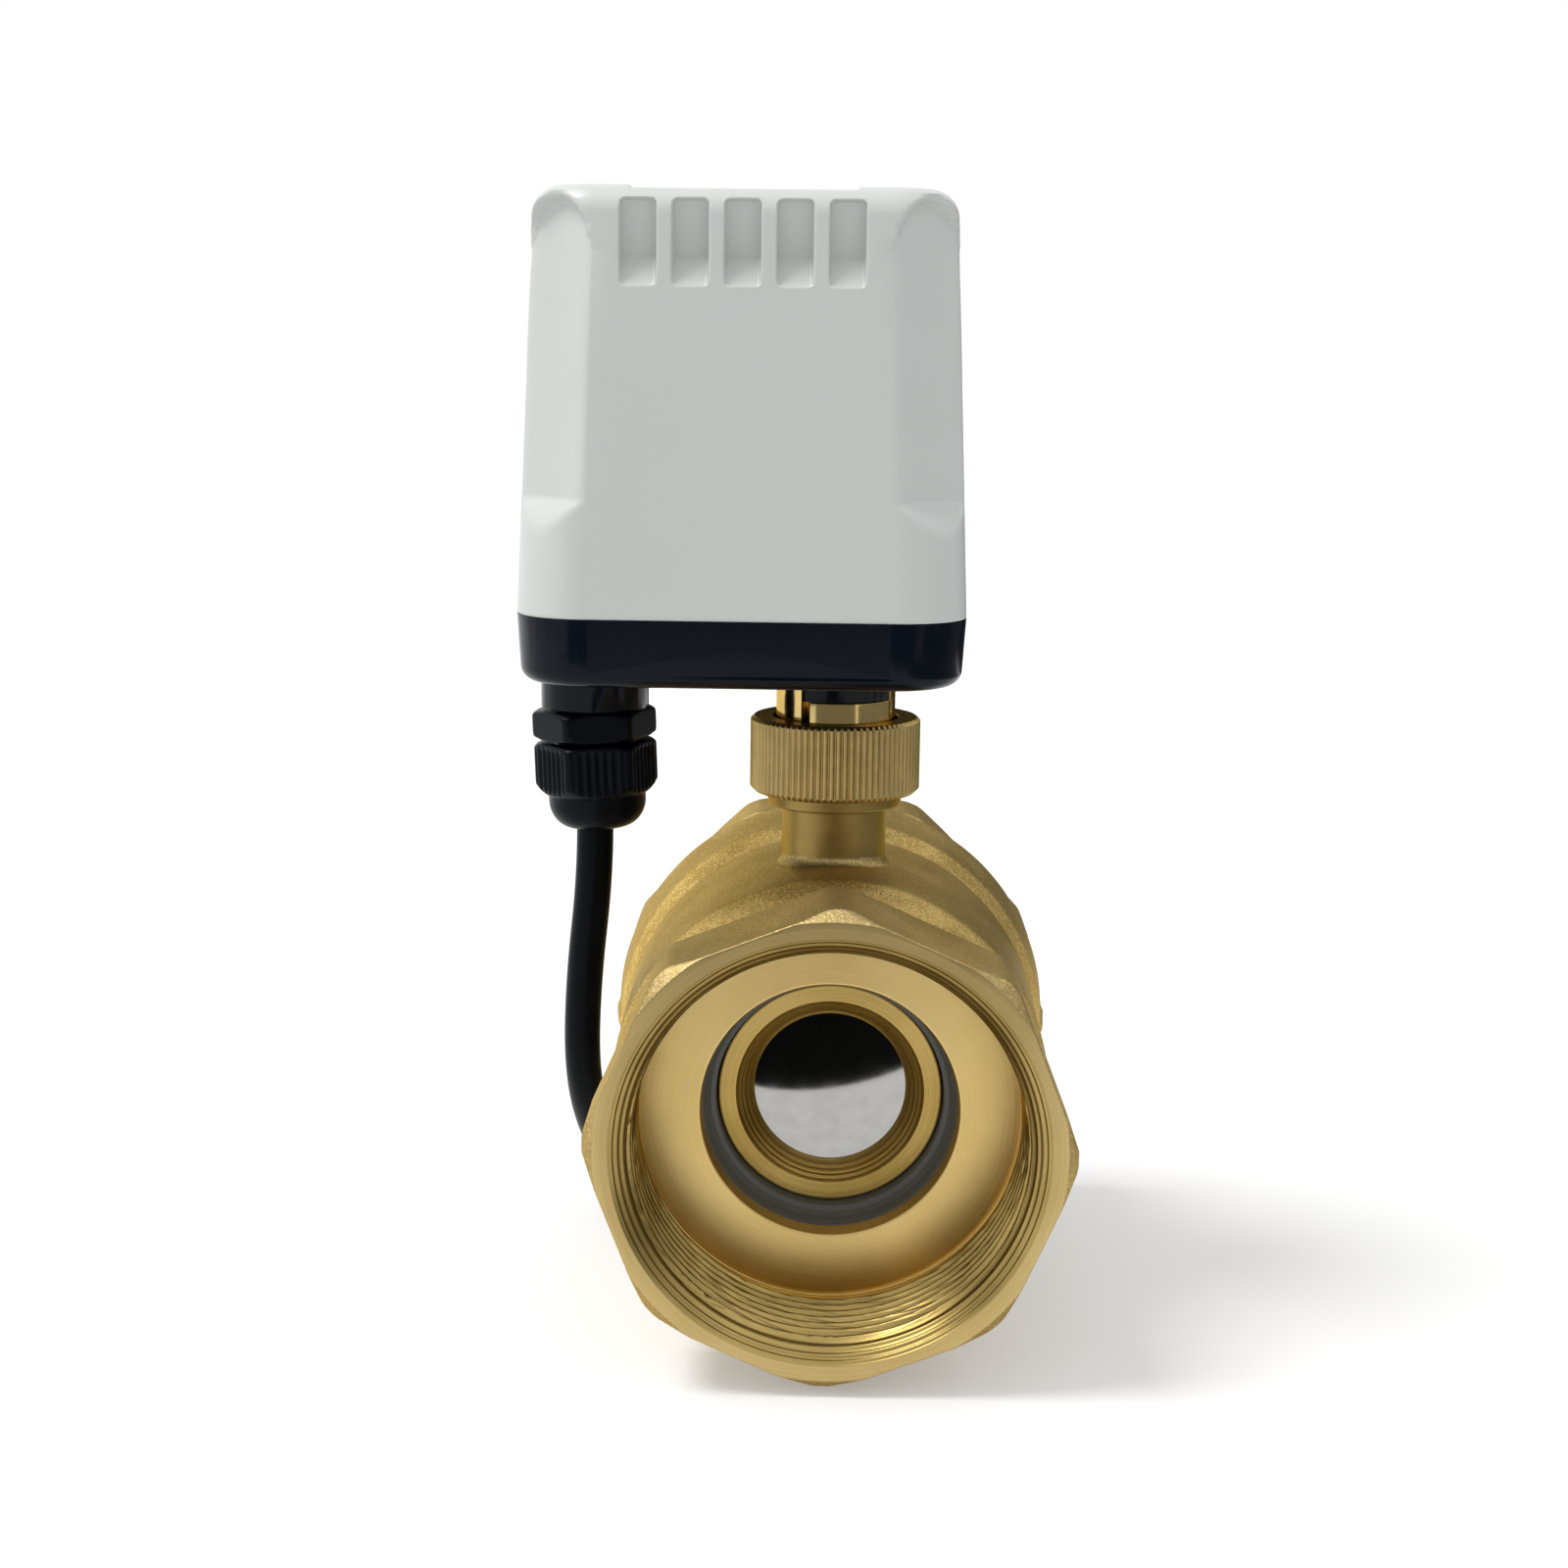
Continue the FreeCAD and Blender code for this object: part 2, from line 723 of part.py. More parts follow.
def circuit_board():
    """Board with its relay, capacitor and terminal block soldered on."""
    width, middle = board_x[1] - board_x[0], (board_x[0] + board_x[1]) / 2
    top = board_z + board_thickness
    board = Part.makeBox(width, 2 * board_half_depth, board_thickness,
                         vec(board_x[0], ball_y - board_half_depth, board_z))
    left = middle - relay_size[0] * 0.6
    relay = Part.makeBox(*relay_size, vec(left, ball_y - relay_size[1] * 1.3, top - 0.1))
    terminals = Part.makeBox(*terminal_size, vec(left, ball_y + terminal_size[1] * 0.8, top - 0.1))
    capacitor = rod(capacitor_r, top - 0.1, top + capacitor_height, middle + 1.5 * capacitor_r,
                    ball_y + capacitor_r / 3)
    holes = [rod(1.2, board_z, top, x, ball_y + y) for x, y in standoffs]
    return board.fuse([relay, terminals, capacitor]).cut(holes)


def board_standoffs():
    seat = plate_z() + plate_thickness
    posts = []
    for x, y in standoffs:
        post = regular_prism(2 * standoff_r, 6, seat, board_z - seat, up, 0, vec(x, ball_y + y, 0))
        posts.append(post.fuse(rod(1.1, board_z - 1, board_z + board_thickness + 0.8, x, ball_y + y)))
    return Part.makeCompound(posts)


# Housing

def screw_places():
    w, d = housing_width / 2 - screw_inset_x, housing_depth / 2 - screw_inset_y
    return [(housing_x + sx * w, ball_y + sy * d) for sx in (-1, 1) for sy in (-1, 1)]


def base():
    """The dark tub: floor, gland boss, bush boss, plate posts and corner screw bosses."""
    outer = rounded_block((housing_width - 2 * base_draft, housing_depth - 2 * base_draft),
                          (housing_width, housing_depth), housing_corner_r, base_bottom, joint_z)
    outer = outer.makeFillet(base_edge_r, edges_at(outer, base_bottom))
    inside = (housing_width - 2 * base_wall, housing_depth - 2 * base_wall)
    cavity = rounded_block(inside, inside, housing_corner_r - base_wall, floor_z, joint_z + 1)
    solid = outer.cut(cavity)
    adds = [rod(gland_boss_r, gland_boss_bottom, base_bottom + 1, gland_x),
            rod(bush_r - 0.2, bush_shoulder_z + running_gap, floor_z + 1.5)]
    adds += [rod(screw_post_r, base_bottom + 1, joint_z - 0.1, x, y) for x, y in screw_places()]
    adds += [rod(plate_post_r, base_bottom + 1, plate_z(), x, ball_y + y) for x, y in plate_posts]
    adds += [rod(axle_r + 1.3, base_bottom + 1, floor_z + 1.6, x, y) for x, y in train_centres()[:2]]
    cuts = [rod(gland_thread_r + running_gap, gland_boss_bottom, floor_z, gland_x),
            rod(bush_sleeve_r + 0.02, base_bottom - 6, joint_z), gasket_ring(joint_z + 0.5)]
    cuts += bush_keys(0.1)
    cuts += [rod(screw_r + 0.15, base_bottom - 1, joint_z, x, y) for x, y in screw_places()]
    cuts += [rod(screw_head_r + 0.2, base_bottom - 1, screw_head_z(), x, y) for x, y in screw_places()]
    plate = plate_z()
    cuts += [rod(plate_screw_r, plate - plate_screw_length, plate, x, ball_y + y) for x, y in plate_posts]
    cuts += [rod(axle_r, floor_z, floor_z + 2, x, y) for x, y in train_centres()[:2]]
    return solid.fuse(adds).cut(cuts).removeSplitter()


def screw_head_z():
    return base_bottom + screw_head_height + 1.0


def gasket_ring(top):
    """The joint's gasket, in a groove of the base's rim."""
    rings = []
    for inset in (cover_wall / 2 - gasket_width / 2, cover_wall / 2 + gasket_width / 2):
        size = (housing_width - 2 * inset, housing_depth - 2 * inset)
        rings.append(rounded_block(size, size, housing_corner_r - inset, joint_z - gasket_depth, top))
    return rings[0].cut(rings[1])


def cover_gasket():
    return gasket_ring(joint_z)


def recess_plane(z):
    """Distance of the corner facets from the housing's axis; they taper with the walls."""
    share = (z - joint_z) / (cover_top - joint_z)
    return ((housing_width + housing_depth) / 2 - 2 * cover_draft * share - recess_width) / math.sqrt(2)


def corner_recesses(growth):
    """Upright facets cut across the corners, each ending in a sloping scoop."""
    low, top, reach = recess_bottom - growth, recess_top + growth, housing_depth / 3
    foot, head = recess_plane(low) - growth, recess_plane(top) - growth
    far = foot + reach
    outline = [(foot, low), (head, top - 3), (head + 0.9, top - 0.9), (head + 3, top), (far, top),
               (far, low - reach * recess_scoop_slope)]
    prisms = []
    for angle in (45, 135, 225, 315):
        points = [vec(housing_x + r, ball_y - reach, z) for r, z in outline]
        prism = Part.Face(Part.makePolygon(points + points[:1])).extrude(along * 2 * reach)
        prism.rotate(vec(housing_x, ball_y, 0), up, angle)
        prisms.append(prism)
    return prisms


def front_face_y(z):
    share = (z - joint_z) / (cover_top - joint_z)
    return ball_y - housing_depth / 2 + cover_draft * share


def vent_pockets(growth):
    """Pockets in the front's upper edge, each with a ledge that slopes out at its foot."""
    bottom, top = vent_bottom - growth, vent_bottom + vent_height + growth
    ledge = vent_bottom + vent_ledge
    back = front_face_y(ledge) + vent_depth + growth
    outline = [(front_face_y(bottom) - 5, bottom), (front_face_y(bottom) + 0.2, bottom),
               (back, ledge - growth / 2), (back - 1.2, top), (front_face_y(top) - 5, top)]
    width = vent_width + 2 * growth
    pockets = []
    for i in range(vent_count):
        left = housing_x + (i - (vent_count - 1) / 2) * vent_pitch - width / 2
        points = [vec(left, y, z) for y, z in outline]
        pockets.append(Part.Face(Part.makePolygon(points + points[:1])).extrude(vec(width, 0, 0)))
    return pockets


def cover():
    """The light moulded shell, an even wall behind its facets and vents."""
    top_size = (housing_width - 2 * cover_draft, housing_depth - 2 * cover_draft)
    outer = rounded_block((housing_width, housing_depth), top_size, housing_corner_r, joint_z, cover_top)
    outer = outer.makeFillet(cover_edge_r, edges_at(outer, cover_top))
    label_recess = Part.makeBox(label_recess_width, housing_depth, cover_wall,
                                vec(housing_x - label_recess_width / 2, ball_y - housing_depth / 2,
                                    cover_top - label_recess_depth))
    outer = outer.cut(corner_recesses(0) + vent_pockets(0) + [label_recess])
    walls = 2 * cover_wall
    inner = rounded_block((housing_width - walls, housing_depth - walls), [s - walls for s in top_size],
                          housing_corner_r - cover_wall, joint_z, cover_top - cover_wall)
    inner = inner.cut(corner_recesses(cover_wall) + vent_pockets(cover_wall * 0.7))
    solid = outer.cut(inner)
    post_top = joint_z + cover_post_height
    posts = [rod(screw_post_r, joint_z, post_top, x, y) for x, y in screw_places()]
    holes = [rod(screw_r - 0.1, joint_z, post_top - 1.5, x, y) for x, y in screw_places()]
    return solid.fuse(posts).cut(holes).removeSplitter()


def cover_screws():
    screws, seat = [], screw_head_z()
    for x, y in screw_places():
        shank = rod(screw_r - 0.1, seat, joint_z + cover_post_height - 2.5, x, y)
        screws.append(shank.fuse(rod(screw_head_r, seat - screw_head_height, seat, x, y)))
    return Part.makeCompound(screws)


# Cable gland

def gland_body():
    """Hex flange with a thread above into the base and one below for the dome nut."""
    flange_bottom = gland_boss_bottom - gland_flange_height
    centre = vec(gland_x, ball_y, 0)
    flange = regular_prism(gland_flange_flats, 6, flange_bottom, gland_flange_height, up, gland_turn, centre)
    edge = gland_flange_flats / 2
    turning = turned_upright([(0, flange_bottom), (edge, flange_bottom), (edge + 1, flange_bottom + 0.5),
                              (edge + 1, gland_boss_bottom - 0.5), (edge, gland_boss_bottom),
                              (0, gland_boss_bottom)], gland_x)
    solid = flange.common(turning)
    solid = solid.fuse([rod(gland_thread_r, gland_boss_bottom - 1, floor_z - 0.5, gland_x),
                        rod(gland_thread_r, gland_nut_top - 5, flange_bottom + 1, gland_x)])
    return solid.cut(rod(cable_r + 0.2, gland_nut_top - 6, floor_z, gland_x))


def gland_dome_nut():
    """Ribbed hex nut that closes in a dome round the cable."""
    bottom = gland_nut_top - gland_nut_height
    centre = vec(gland_x, ball_y, 0)
    hexagon = regular_prism(gland_nut_flats, 6, bottom, gland_nut_height, up, gland_turn, centre)
    edge = gland_nut_flats / 2
    turning = turned_upright([(0, bottom), (edge - 0.4, bottom), (edge + 0.9, bottom + 1.5),
                              (edge + 0.9, gland_nut_top - 0.5), (edge + 0.3, gland_nut_top),
                              (0, gland_nut_top)], gland_x)
    sphere = Part.makeSphere(gland_dome_r, vec(gland_x, ball_y, gland_mouth_z + gland_dome_r - 0.5))
    dome = sphere.common(rod(gland_dome_r, gland_mouth_z, gland_mouth_z + gland_dome_r, gland_x))
    solid = hexagon.common(turning).fuse(dome)
    seal = rod(gland_seal_r() + 0.02, gland_mouth_z + 2.5, gland_nut_top - 5, gland_x)
    thread = rod(gland_thread_r + running_gap, gland_nut_top - 5, gland_nut_top, gland_x)
    return solid.cut([seal, thread, rod(cable_r + 0.1, gland_mouth_z, gland_nut_top, gland_x)])


def gland_seal_r():
    return gland_thread_r - 0.8


def gland_seal():
    return tube(gland_seal_r(), cable_r + 0.02, gland_mouth_z + 2.5, gland_nut_top - 5.1, gland_x)


def cable_entry():
    """The cable inside the gland, up to the board."""
    return rod(cable_r, cable_points[0][2], floor_z + 3.0, gland_x)


# Cable

def route_wire(points):
    """Straight runs joined by arcs as large as the runs allow."""
    corners = [vec(*p) for p in points]
    edges = []
    last = corners[0]
    radii = []
    for before, here, after in zip(corners, corners[1:], corners[2:]):
        back, ahead = before - here, after - here
        reach = arc_share * min(back.Length, ahead.Length)
        half_turn = (math.pi - back.getAngle(ahead)) / 2
        radius = reach / math.tan(half_turn)
        radii.append(radius)
        start = here + back.normalize() * reach
        end = here + ahead.normalize() * reach
        inward = (back + ahead).normalize()
        middle = here + inward * (radius / math.cos(half_turn) - radius)
        edges.append(Part.LineSegment(last, start).toShape())
        edges.append(Part.Arc(start, middle, end).toShape())
        last = end
    edges.append(Part.LineSegment(last, corners[-1]).toShape())
    print("cable radii", [round(r, 1) for r in radii])
    return Part.Wire(edges)


def swept(wire, radius, start, direction):
    circle = Part.Wire([Part.makeCircle(radius, start, direction)])
    return wire.makePipeShell([circle], True, False)


def power_cable():
    wire = route_wire(cable_points)
    solid = swept(wire, cable_r, vec(*cable_points[0]), vec(0, 0, -1))
    print("cable length", round(wire.Length, 1), "volume share",
          round(solid.Volume / (math.pi * cable_r ** 2 * wire.Length), 4))
    return solid


def coil_arcs():
    """Half turns that wind inward, then a quarter turn: (centre x, radius, start side)."""
    outer = -cable_points[-1][0]
    arcs = []
    for i in range(coil_half_turns):
        radius = outer - i * coil_pitch / 2
        arcs.append((0.0 if i % 2 == 0 else coil_pitch / 2, radius, -1 if i % 2 == 0 else 1))
    return arcs


def coil_end():
    """Centre x and radius of the coil's last quarter turn."""
    outer = -cable_points[-1][0]
    return coil_pitch / 2, outer - coil_half_turns * coil_pitch / 2


def coil_wire():
    _, y, z = cable_points[-1]
    edges = []
    for x, r, side in coil_arcs():
        start, middle, end = vec(x + side * r, y, z), vec(x, y - side * r, z), vec(x - side * r, y, z)
        edges.append(Part.Arc(start, middle, end).toShape())
    x, r = coil_end()
    k = r * math.sqrt(0.5)
    edges.append(Part.Arc(vec(x + r, y, z), vec(x + k, y - k, z), vec(x, y - r, z)).toShape())
    return Part.Wire(edges)


def cable_coil():
    wire = coil_wire()
    solid = swept(wire, cable_r, vec(*cable_points[-1]), along)
    print("coil length", round(wire.Length, 1), "gap between turns", round(coil_pitch - 2 * cable_r, 2))
    return solid


def wire_ends():
    """Three bare-ended wires that stand out of the sheath and curl inside the coil."""
    x, r = coil_end()
    _, y, z = cable_points[-1]
    pivot = vec(x, y - r + wire_bend_r, z)
    wires = []
    for i in (-1, 0, 1):
        start = vec(x, y - r + i * wire_spacing, z)
        face = Part.Face(Part.Wire([Part.makeCircle(wire_r, start, vec(1, 0, 0))]))
        wires.append(face.revolve(pivot, vec(0, 0, -1), wire_bend))
    return Part.makeCompound(wires)


pieces = (valve_body, end_cap, end_cap_gasket, ball, stem, stem_o_rings, stem_washer, union_nut,
          nut_retaining_clip, actuator_bush, output_shaft, output_gear, middle_gear, first_gear, motor_pinion,
          motor_shaft, motor, gear_axles, gear_plate, plate_screws, limit_cam, limit_switches, circuit_board,
          board_standoffs, base, cover_gasket, cover, cover_screws, gland_body, gland_dome_nut, gland_seal,
          cable_entry, power_cable, cable_coil, wire_ends)

os.makedirs("parts", exist_ok=True)
for piece in pieces:
    piece().exportStep("parts/" + piece.__name__ + ".step")
for name, piece in (("seat_retainer", seat_retainer), ("seat", seat), ("seal_ring", seal_ring)):
    shape = piece()
    shape.exportStep("parts/front_" + name + ".step")
    at_rear(shape).exportStep("parts/rear_" + name + ".step")
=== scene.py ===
import bpy
import bmesh
import numpy as np
from math import acos, asin, cos, hypot, pi, radians, sin, sqrt, tan
from mathutils import Matrix, Vector


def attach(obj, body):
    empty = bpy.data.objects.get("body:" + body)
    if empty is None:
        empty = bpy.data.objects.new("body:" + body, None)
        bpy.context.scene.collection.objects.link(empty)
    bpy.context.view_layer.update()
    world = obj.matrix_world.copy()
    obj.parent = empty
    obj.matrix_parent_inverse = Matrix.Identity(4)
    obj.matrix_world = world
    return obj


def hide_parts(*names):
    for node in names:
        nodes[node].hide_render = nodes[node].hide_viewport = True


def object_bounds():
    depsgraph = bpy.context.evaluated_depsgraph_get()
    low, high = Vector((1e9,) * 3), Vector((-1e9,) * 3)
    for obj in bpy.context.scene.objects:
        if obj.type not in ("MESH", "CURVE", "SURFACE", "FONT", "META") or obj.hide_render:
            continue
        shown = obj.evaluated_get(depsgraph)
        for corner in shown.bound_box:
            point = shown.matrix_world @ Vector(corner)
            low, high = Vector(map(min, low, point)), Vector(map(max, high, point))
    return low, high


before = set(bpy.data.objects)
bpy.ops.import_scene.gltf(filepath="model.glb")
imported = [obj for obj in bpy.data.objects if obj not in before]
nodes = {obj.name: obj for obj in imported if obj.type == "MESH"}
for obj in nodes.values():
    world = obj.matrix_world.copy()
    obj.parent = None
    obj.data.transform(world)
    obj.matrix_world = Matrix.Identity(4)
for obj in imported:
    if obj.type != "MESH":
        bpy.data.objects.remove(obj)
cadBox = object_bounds()
mm = 0.001
stemY = 47.5  # mm, the stem's place along the pipe
print("frame loaded,", len(nodes), "nodes")


# Camera

view = {
    "place": (-1.59, -330.6, 112.13),  # mm
    "pitch": 10.08,  # degrees down
    "yaw": -0.962,
    "roll": 0.717,
    "lens": 56.02,
    "sensor": 36.0,
    "clip": (0.01, 100.0),  # m
}


def addObject(name, data):
    piece = bpy.data.objects.new(name, data)
    bpy.context.collection.objects.link(piece)
    return piece


def aimCamera():
    pitch, yaw, roll = (radians(view[k]) for k in ("pitch", "yaw", "roll"))
    aim = Matrix.Rotation(-yaw, 4, "Z") @ Matrix.Rotation(pi / 2 - pitch, 4, "X")
    lens = bpy.data.cameras.new("photoCamera")
    lens.lens, lens.sensor_width = view["lens"], view["sensor"]
    lens.clip_start, lens.clip_end = view["clip"]
    camera = addObject("photoCamera", lens)
    place = Matrix.Translation(Vector(view["place"]) * mm)
    camera.matrix_world = place @ aim @ Matrix.Rotation(roll, 4, "Z")
    bpy.context.scene.camera = camera


aimCamera()
print("camera placed")


# Cable

cable = {
    "diameter": 5.8,
    "route": (  # mm, from the gland down to the coil behind the body
        (-37.7, 47.5, 38.2),
        (-37.7, 47.5, 30.0),
        (-39.8, 49.6, 12.5),
        (-40.6, 53.5, -4.5),
        (-39.0, 65.0, -19.0),
        (-36.4, 82.0, -29.5),
        (-34.0, 106.0, -33.5),
        (-34.0, 128.5, -33.5),
    ),
    "pitch": 6.4,  # from one turn to the next
    "halfTurns": 3,
    "stepsPerHalf": 8,
    "length": 0.457,
}


def coilPoints():
    start, y, z = cable["route"][-1]
    steps, points = cable["stepsPerHalf"], []
    for i in range(cable["halfTurns"] + 1):
        radius = -start - i * cable["pitch"] / 2
        centre = cable["pitch"] / 2 * (i % 2)
        side = 1 if i % 2 else -1
        last = steps if i < cable["halfTurns"] else steps // 2
        for k in range(1, last + 1):
            a = pi * k / steps
            points.append((centre + side * radius * cos(a), y - side * radius * sin(a), z))
    return points


def makeCable():
    line = bpy.data.curves.new("cable", "CURVE")
    line.dimensions = "3D"
    line.bevel_depth = 1.0  # times each point's radius, which keeps the curve's box tight round it
    line.bevel_resolution = 8
    line.resolution_u = 8
    line.use_fill_caps = True
    spline = line.splines.new("NURBS")
    points = list(cable["route"]) + coilPoints()
    spline.points.add(len(points) - 1)
    for point, place in zip(spline.points, points):
        point.co = (*(v * mm for v in place), 1)
        point.radius = cable["diameter"] / 2 * mm
    spline.order_u = 3
    spline.use_endpoint_u = True
    return addObject("cable", line)


cablePiece = makeCable()
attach(cablePiece, "valve")
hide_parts("power_cable", "cable_coil")
print("cable laid")


# Shader maths: a Wire is a socket that understands + - * and other shader nodes

class Wire:
    def __init__(self, tree, socket=None):
        self.tree, self.socket = tree, socket

    def add(self, kind, settings, inputs, output=0):  # any node: settings first, then values and links
        node = self.tree.nodes.new(kind)
        for key, value in settings.items():
            setattr(node, key, value)
        for key, value in inputs.items():
            if isinstance(value, Wire):
                self.tree.links.new(value.socket, node.inputs[key])
            else:
                node.inputs[key].default_value = value
        return Wire(self.tree, node.outputs[output] if len(node.outputs) else None)

    def other(self, name):  # another output of the same node
        return Wire(self.tree, self.socket.node.outputs[name])

    def part(self, axis):  # X, Y or Z of a vector
        return self.add("ShaderNodeSeparateXYZ", {}, {0: self}, axis)

    def maths(self, operation, *values):
        return self.add("ShaderNodeMath", {"operation": operation}, dict(enumerate(values)))

    def vector(self, operation, *values):
        return self.add("ShaderNodeVectorMath", {"operation": operation}, dict(enumerate(values)))

    def scaled(self, factor):
        return self.add("ShaderNodeVectorMath", {"operation": "SCALE"}, {0: self, "Scale": factor})

    def colour(self, low, high):  # this wire is the factor between two colours
        return self.add("ShaderNodeMix", {"data_type": "RGBA"}, {0: self, 6: low, 7: high}, 2)

    def smooth(self, low, high):  # 0 below low, 1 above high
        settings = {"interpolation_type": "SMOOTHSTEP"}
        return self.add("ShaderNodeMapRange", settings, {0: self, 1: low, 2: high})

    def noise(self, scale, detail=2.0, roughness=0.5):
        inputs = {"Vector": self, "Scale": scale, "Detail": detail, "Roughness": roughness}
        return self.add("ShaderNodeTexNoise", {}, inputs)

    def lines(self, scale, detail, roughness):  # noise along one number
        inputs = {"W": self, "Scale": scale, "Detail": detail, "Roughness": roughness}
        return self.add("ShaderNodeTexNoise", {"noise_dimensions": "1D"}, inputs)

    def __add__(self, other):
        return self.maths("ADD", self, other)

    __radd__ = __add__

    def __sub__(self, other):
        return self.maths("SUBTRACT", self, other)

    def __rsub__(self, other):
        return self.maths("SUBTRACT", other, self)

    def __mul__(self, other):
        return self.maths("MULTIPLY", self, other)

    __rmul__ = __mul__


def newFinish(name):
    finish = bpy.data.materials.new(name)
    finish.use_nodes = True
    finish.node_tree.nodes.clear()
    return finish, Wire(finish.node_tree)


def newSurface(name):  # a finish, and the row frame in millimetres
    finish, start = newFinish(name)
    return finish, start.add("ShaderNodeTexCoord", {}, {}, "Object").scaled(1 / mm)


def surface(finish, inputs):
    start = Wire(finish.node_tree)
    shader = start.add("ShaderNodeBsdfPrincipled", {}, inputs)
    start.add("ShaderNodeOutputMaterial", {}, {"Surface": shader})
    return finish


def bump(height, strength, distance, **more):  # distance in mm
    inputs = {"Strength": strength, "Distance": distance * mm, "Height": height, **more}
    return height.add("ShaderNodeBump", {}, inputs)


def fromPoint(x, z):  # distance in a plane
    return x.maths("SQRT", x * x + z * z)


def mottled(pattern, tone, share):  # between the tone and a share of it
    return pattern.smooth(0.3, 0.7).colour((*(share * c for c in tone[:3]), 1), tone)


brassTones = {
    # a brighter copy of the same brass, painted light, for the port's shoulder and seal bore
    "turned": (0.86, 0.64, 0.26, 1),
    "turnedDeep": (0.76, 0.55, 0.20, 1),
    "faced": (0.56, 0.42, 0.18, 1),
    "facedDeep": (0.48, 0.355, 0.14, 1),
    # a darker copy of the same brass, painted shade, for the thread
    "shadedThreaded": (0.45, 0.33, 0.115, 1),
    "shadedThreadedDeep": (0.28, 0.20, 0.065, 1),
    "grooved": (0.70, 0.50, 0.17, 1),
    "groovedDeep": (0.50, 0.34, 0.09, 1),
    "cast": (0.52, 0.395, 0.18, 1),
    "castDark": (0.37, 0.275, 0.115, 1),
    "grainyLitBand": (0.86, 0.65, 0.26, 1),
    "grainyLitBandDark": (0.46, 0.32, 0.11, 1),
    "satin": (0.52, 0.385, 0.16, 1),
    # smoother than the cast body, and darker: painted shade under the nut and cover
    "neck": (0.34, 0.235, 0.075, 1),
    "polished": (0.66, 0.49, 0.20, 1),
    "rim": (0.86, 0.68, 0.36, 1),  # colour of the metal where it is seen at a flat angle
}
blasting = {
    "bands": ((17.0, 29.6), (62.4, 68.0)),  # mm from the mouth: where the blasting shows most, and where the brass is painted brighter gold, partly painted highlight on the shoulders that face the light
    "bandEdge": 0.8,  # mm
    "grain": 1.9,  # grains, clouds and specks to the mm
    "cloud": 0.09,
    "speck": 2.6,
    "depth": 0.4,  # mm
    "roughness": 0.44,
}


def blastedBrass():
    finish, here = newSurface("blastedBrass")
    y, soft = here.part("Y"), blasting["bandEdge"]
    # the shoulder bands: grainier, and painted brighter gold as painted highlight where they face the light
    grainyLitBand = sum(y.smooth(low - soft, low + soft) * (1 - y.smooth(high - soft, high + soft))
                 for low, high in blasting["bands"])
    grain = here.noise(blasting["grain"], 3.0, 0.7)
    cloud = here.noise(blasting["cloud"], 3.0, 0.55)
    # bright specks: painted glints in the colour, and smoother there
    glint = here.noise(blasting["speck"], 1.0).smooth(0.60, 0.70)
    mix = (grain * 0.6 + cloud * 0.4).smooth(0.40, 0.62)
    smoother = mix.colour(brassTones["castDark"], brassTones["cast"])
    grainyLitTone = mix.colour(brassTones["grainyLitBandDark"], brassTones["grainyLitBand"])
    return surface(finish, {
        "Base Color": (glint * 0.6).colour(grainyLitBand.colour(smoother, grainyLitTone), brassTones["turned"]),
        "Metallic": 1.0,
        "Roughness": blasting["roughness"] - glint * (0.1 + grainyLitBand * 0.14) + cloud * 0.06,
        "Specular Tint": brassTones["rim"],
        "Normal": bump(grain * (0.3 + grainyLitBand * 0.7), 0.9, blasting["depth"]),
    })


turning = {
    "fine": 23.0,  # rings to the mm, the finest and the ones that catch the light
    "broad": 3.0,
    "slant": 1.3,  # how much closer they lie along the pipe than outwards
    "depth": 0.012,  # mm
    "roughness": 0.27,
}


def turnedBrass(kind, spread):  # rings left by the tool about the pipe's axis
    finish, here = newSurface(kind + "Brass")
    tone, deep = brassTones[kind], brassTones[kind + "Deep"]
    parts = here.part("X")
    along = fromPoint(parts, parts.other("Z")) + here.part("Y") * turning["slant"]
    fine = along.lines(turning["fine"], 2.0, 0.8)
    rings = along.lines(turning["broad"], 3.0, 0.6)
    cloud = here.noise(0.06, 2.0)
    facing = here.add("ShaderNodeNewGeometry", {}, {}, "Normal")
    outward = here.vector("NORMALIZE", here.vector("MULTIPLY", here, (1, 0, 1)))
    roundPipe = outward.vector("CROSS_PRODUCT", outward, (0, 1, 0))
    lean = facing.vector("CROSS_PRODUCT", facing, roundPipe).scaled((fine - 0.5) * spread)
    grooved = facing.vector("NORMALIZE", facing.vector("ADD", facing, lean))
    return surface(finish, {
        "Base Color": (rings * 0.4 + cloud * 0.6).smooth(0.34, 0.66).colour(deep, tone),
        "Metallic": 1.0,
        "Roughness": turning["roughness"] + rings * 0.1,
        "Specular Tint": brassTones["rim"],
        "Normal": bump(rings, 0.5, turning["depth"], Normal=grooved),
    })


def plainBrass(kind, roughness):
    finish, here = newSurface(kind + "Brass")
    tone = brassTones[kind]
    cloud = here.noise(0.35, 3.0, 0.6)
    return surface(finish, {
        "Base Color": mottled(cloud, tone, 0.86),
        "Metallic": 1.0,
        "Roughness": roughness + cloud * 0.08,
        "Specular Tint": brassTones["rim"],
        "Normal": bump(here.noise(6.0, 2.0), 0.2, 0.01),
    })


def metalFinish(name, tone, roughness):
    finish, here = newSurface(name)
    fine = here.noise(2.5, 3.0, 0.6)
    return surface(finish, {
        "Base Color": mottled(fine, tone, 0.92),
        "Metallic": 1.0,
        "Roughness": roughness + fine * 0.05,
    })


chrome = {
    "flatness": 60.0,  # so that it mirrors the room in front of the port evenly over the seat's small window
    "tone": (0.42, 0.415, 0.40, 1),
    "deep": (0.38, 0.375, 0.36, 1),
    "roughness": 0.03,
}


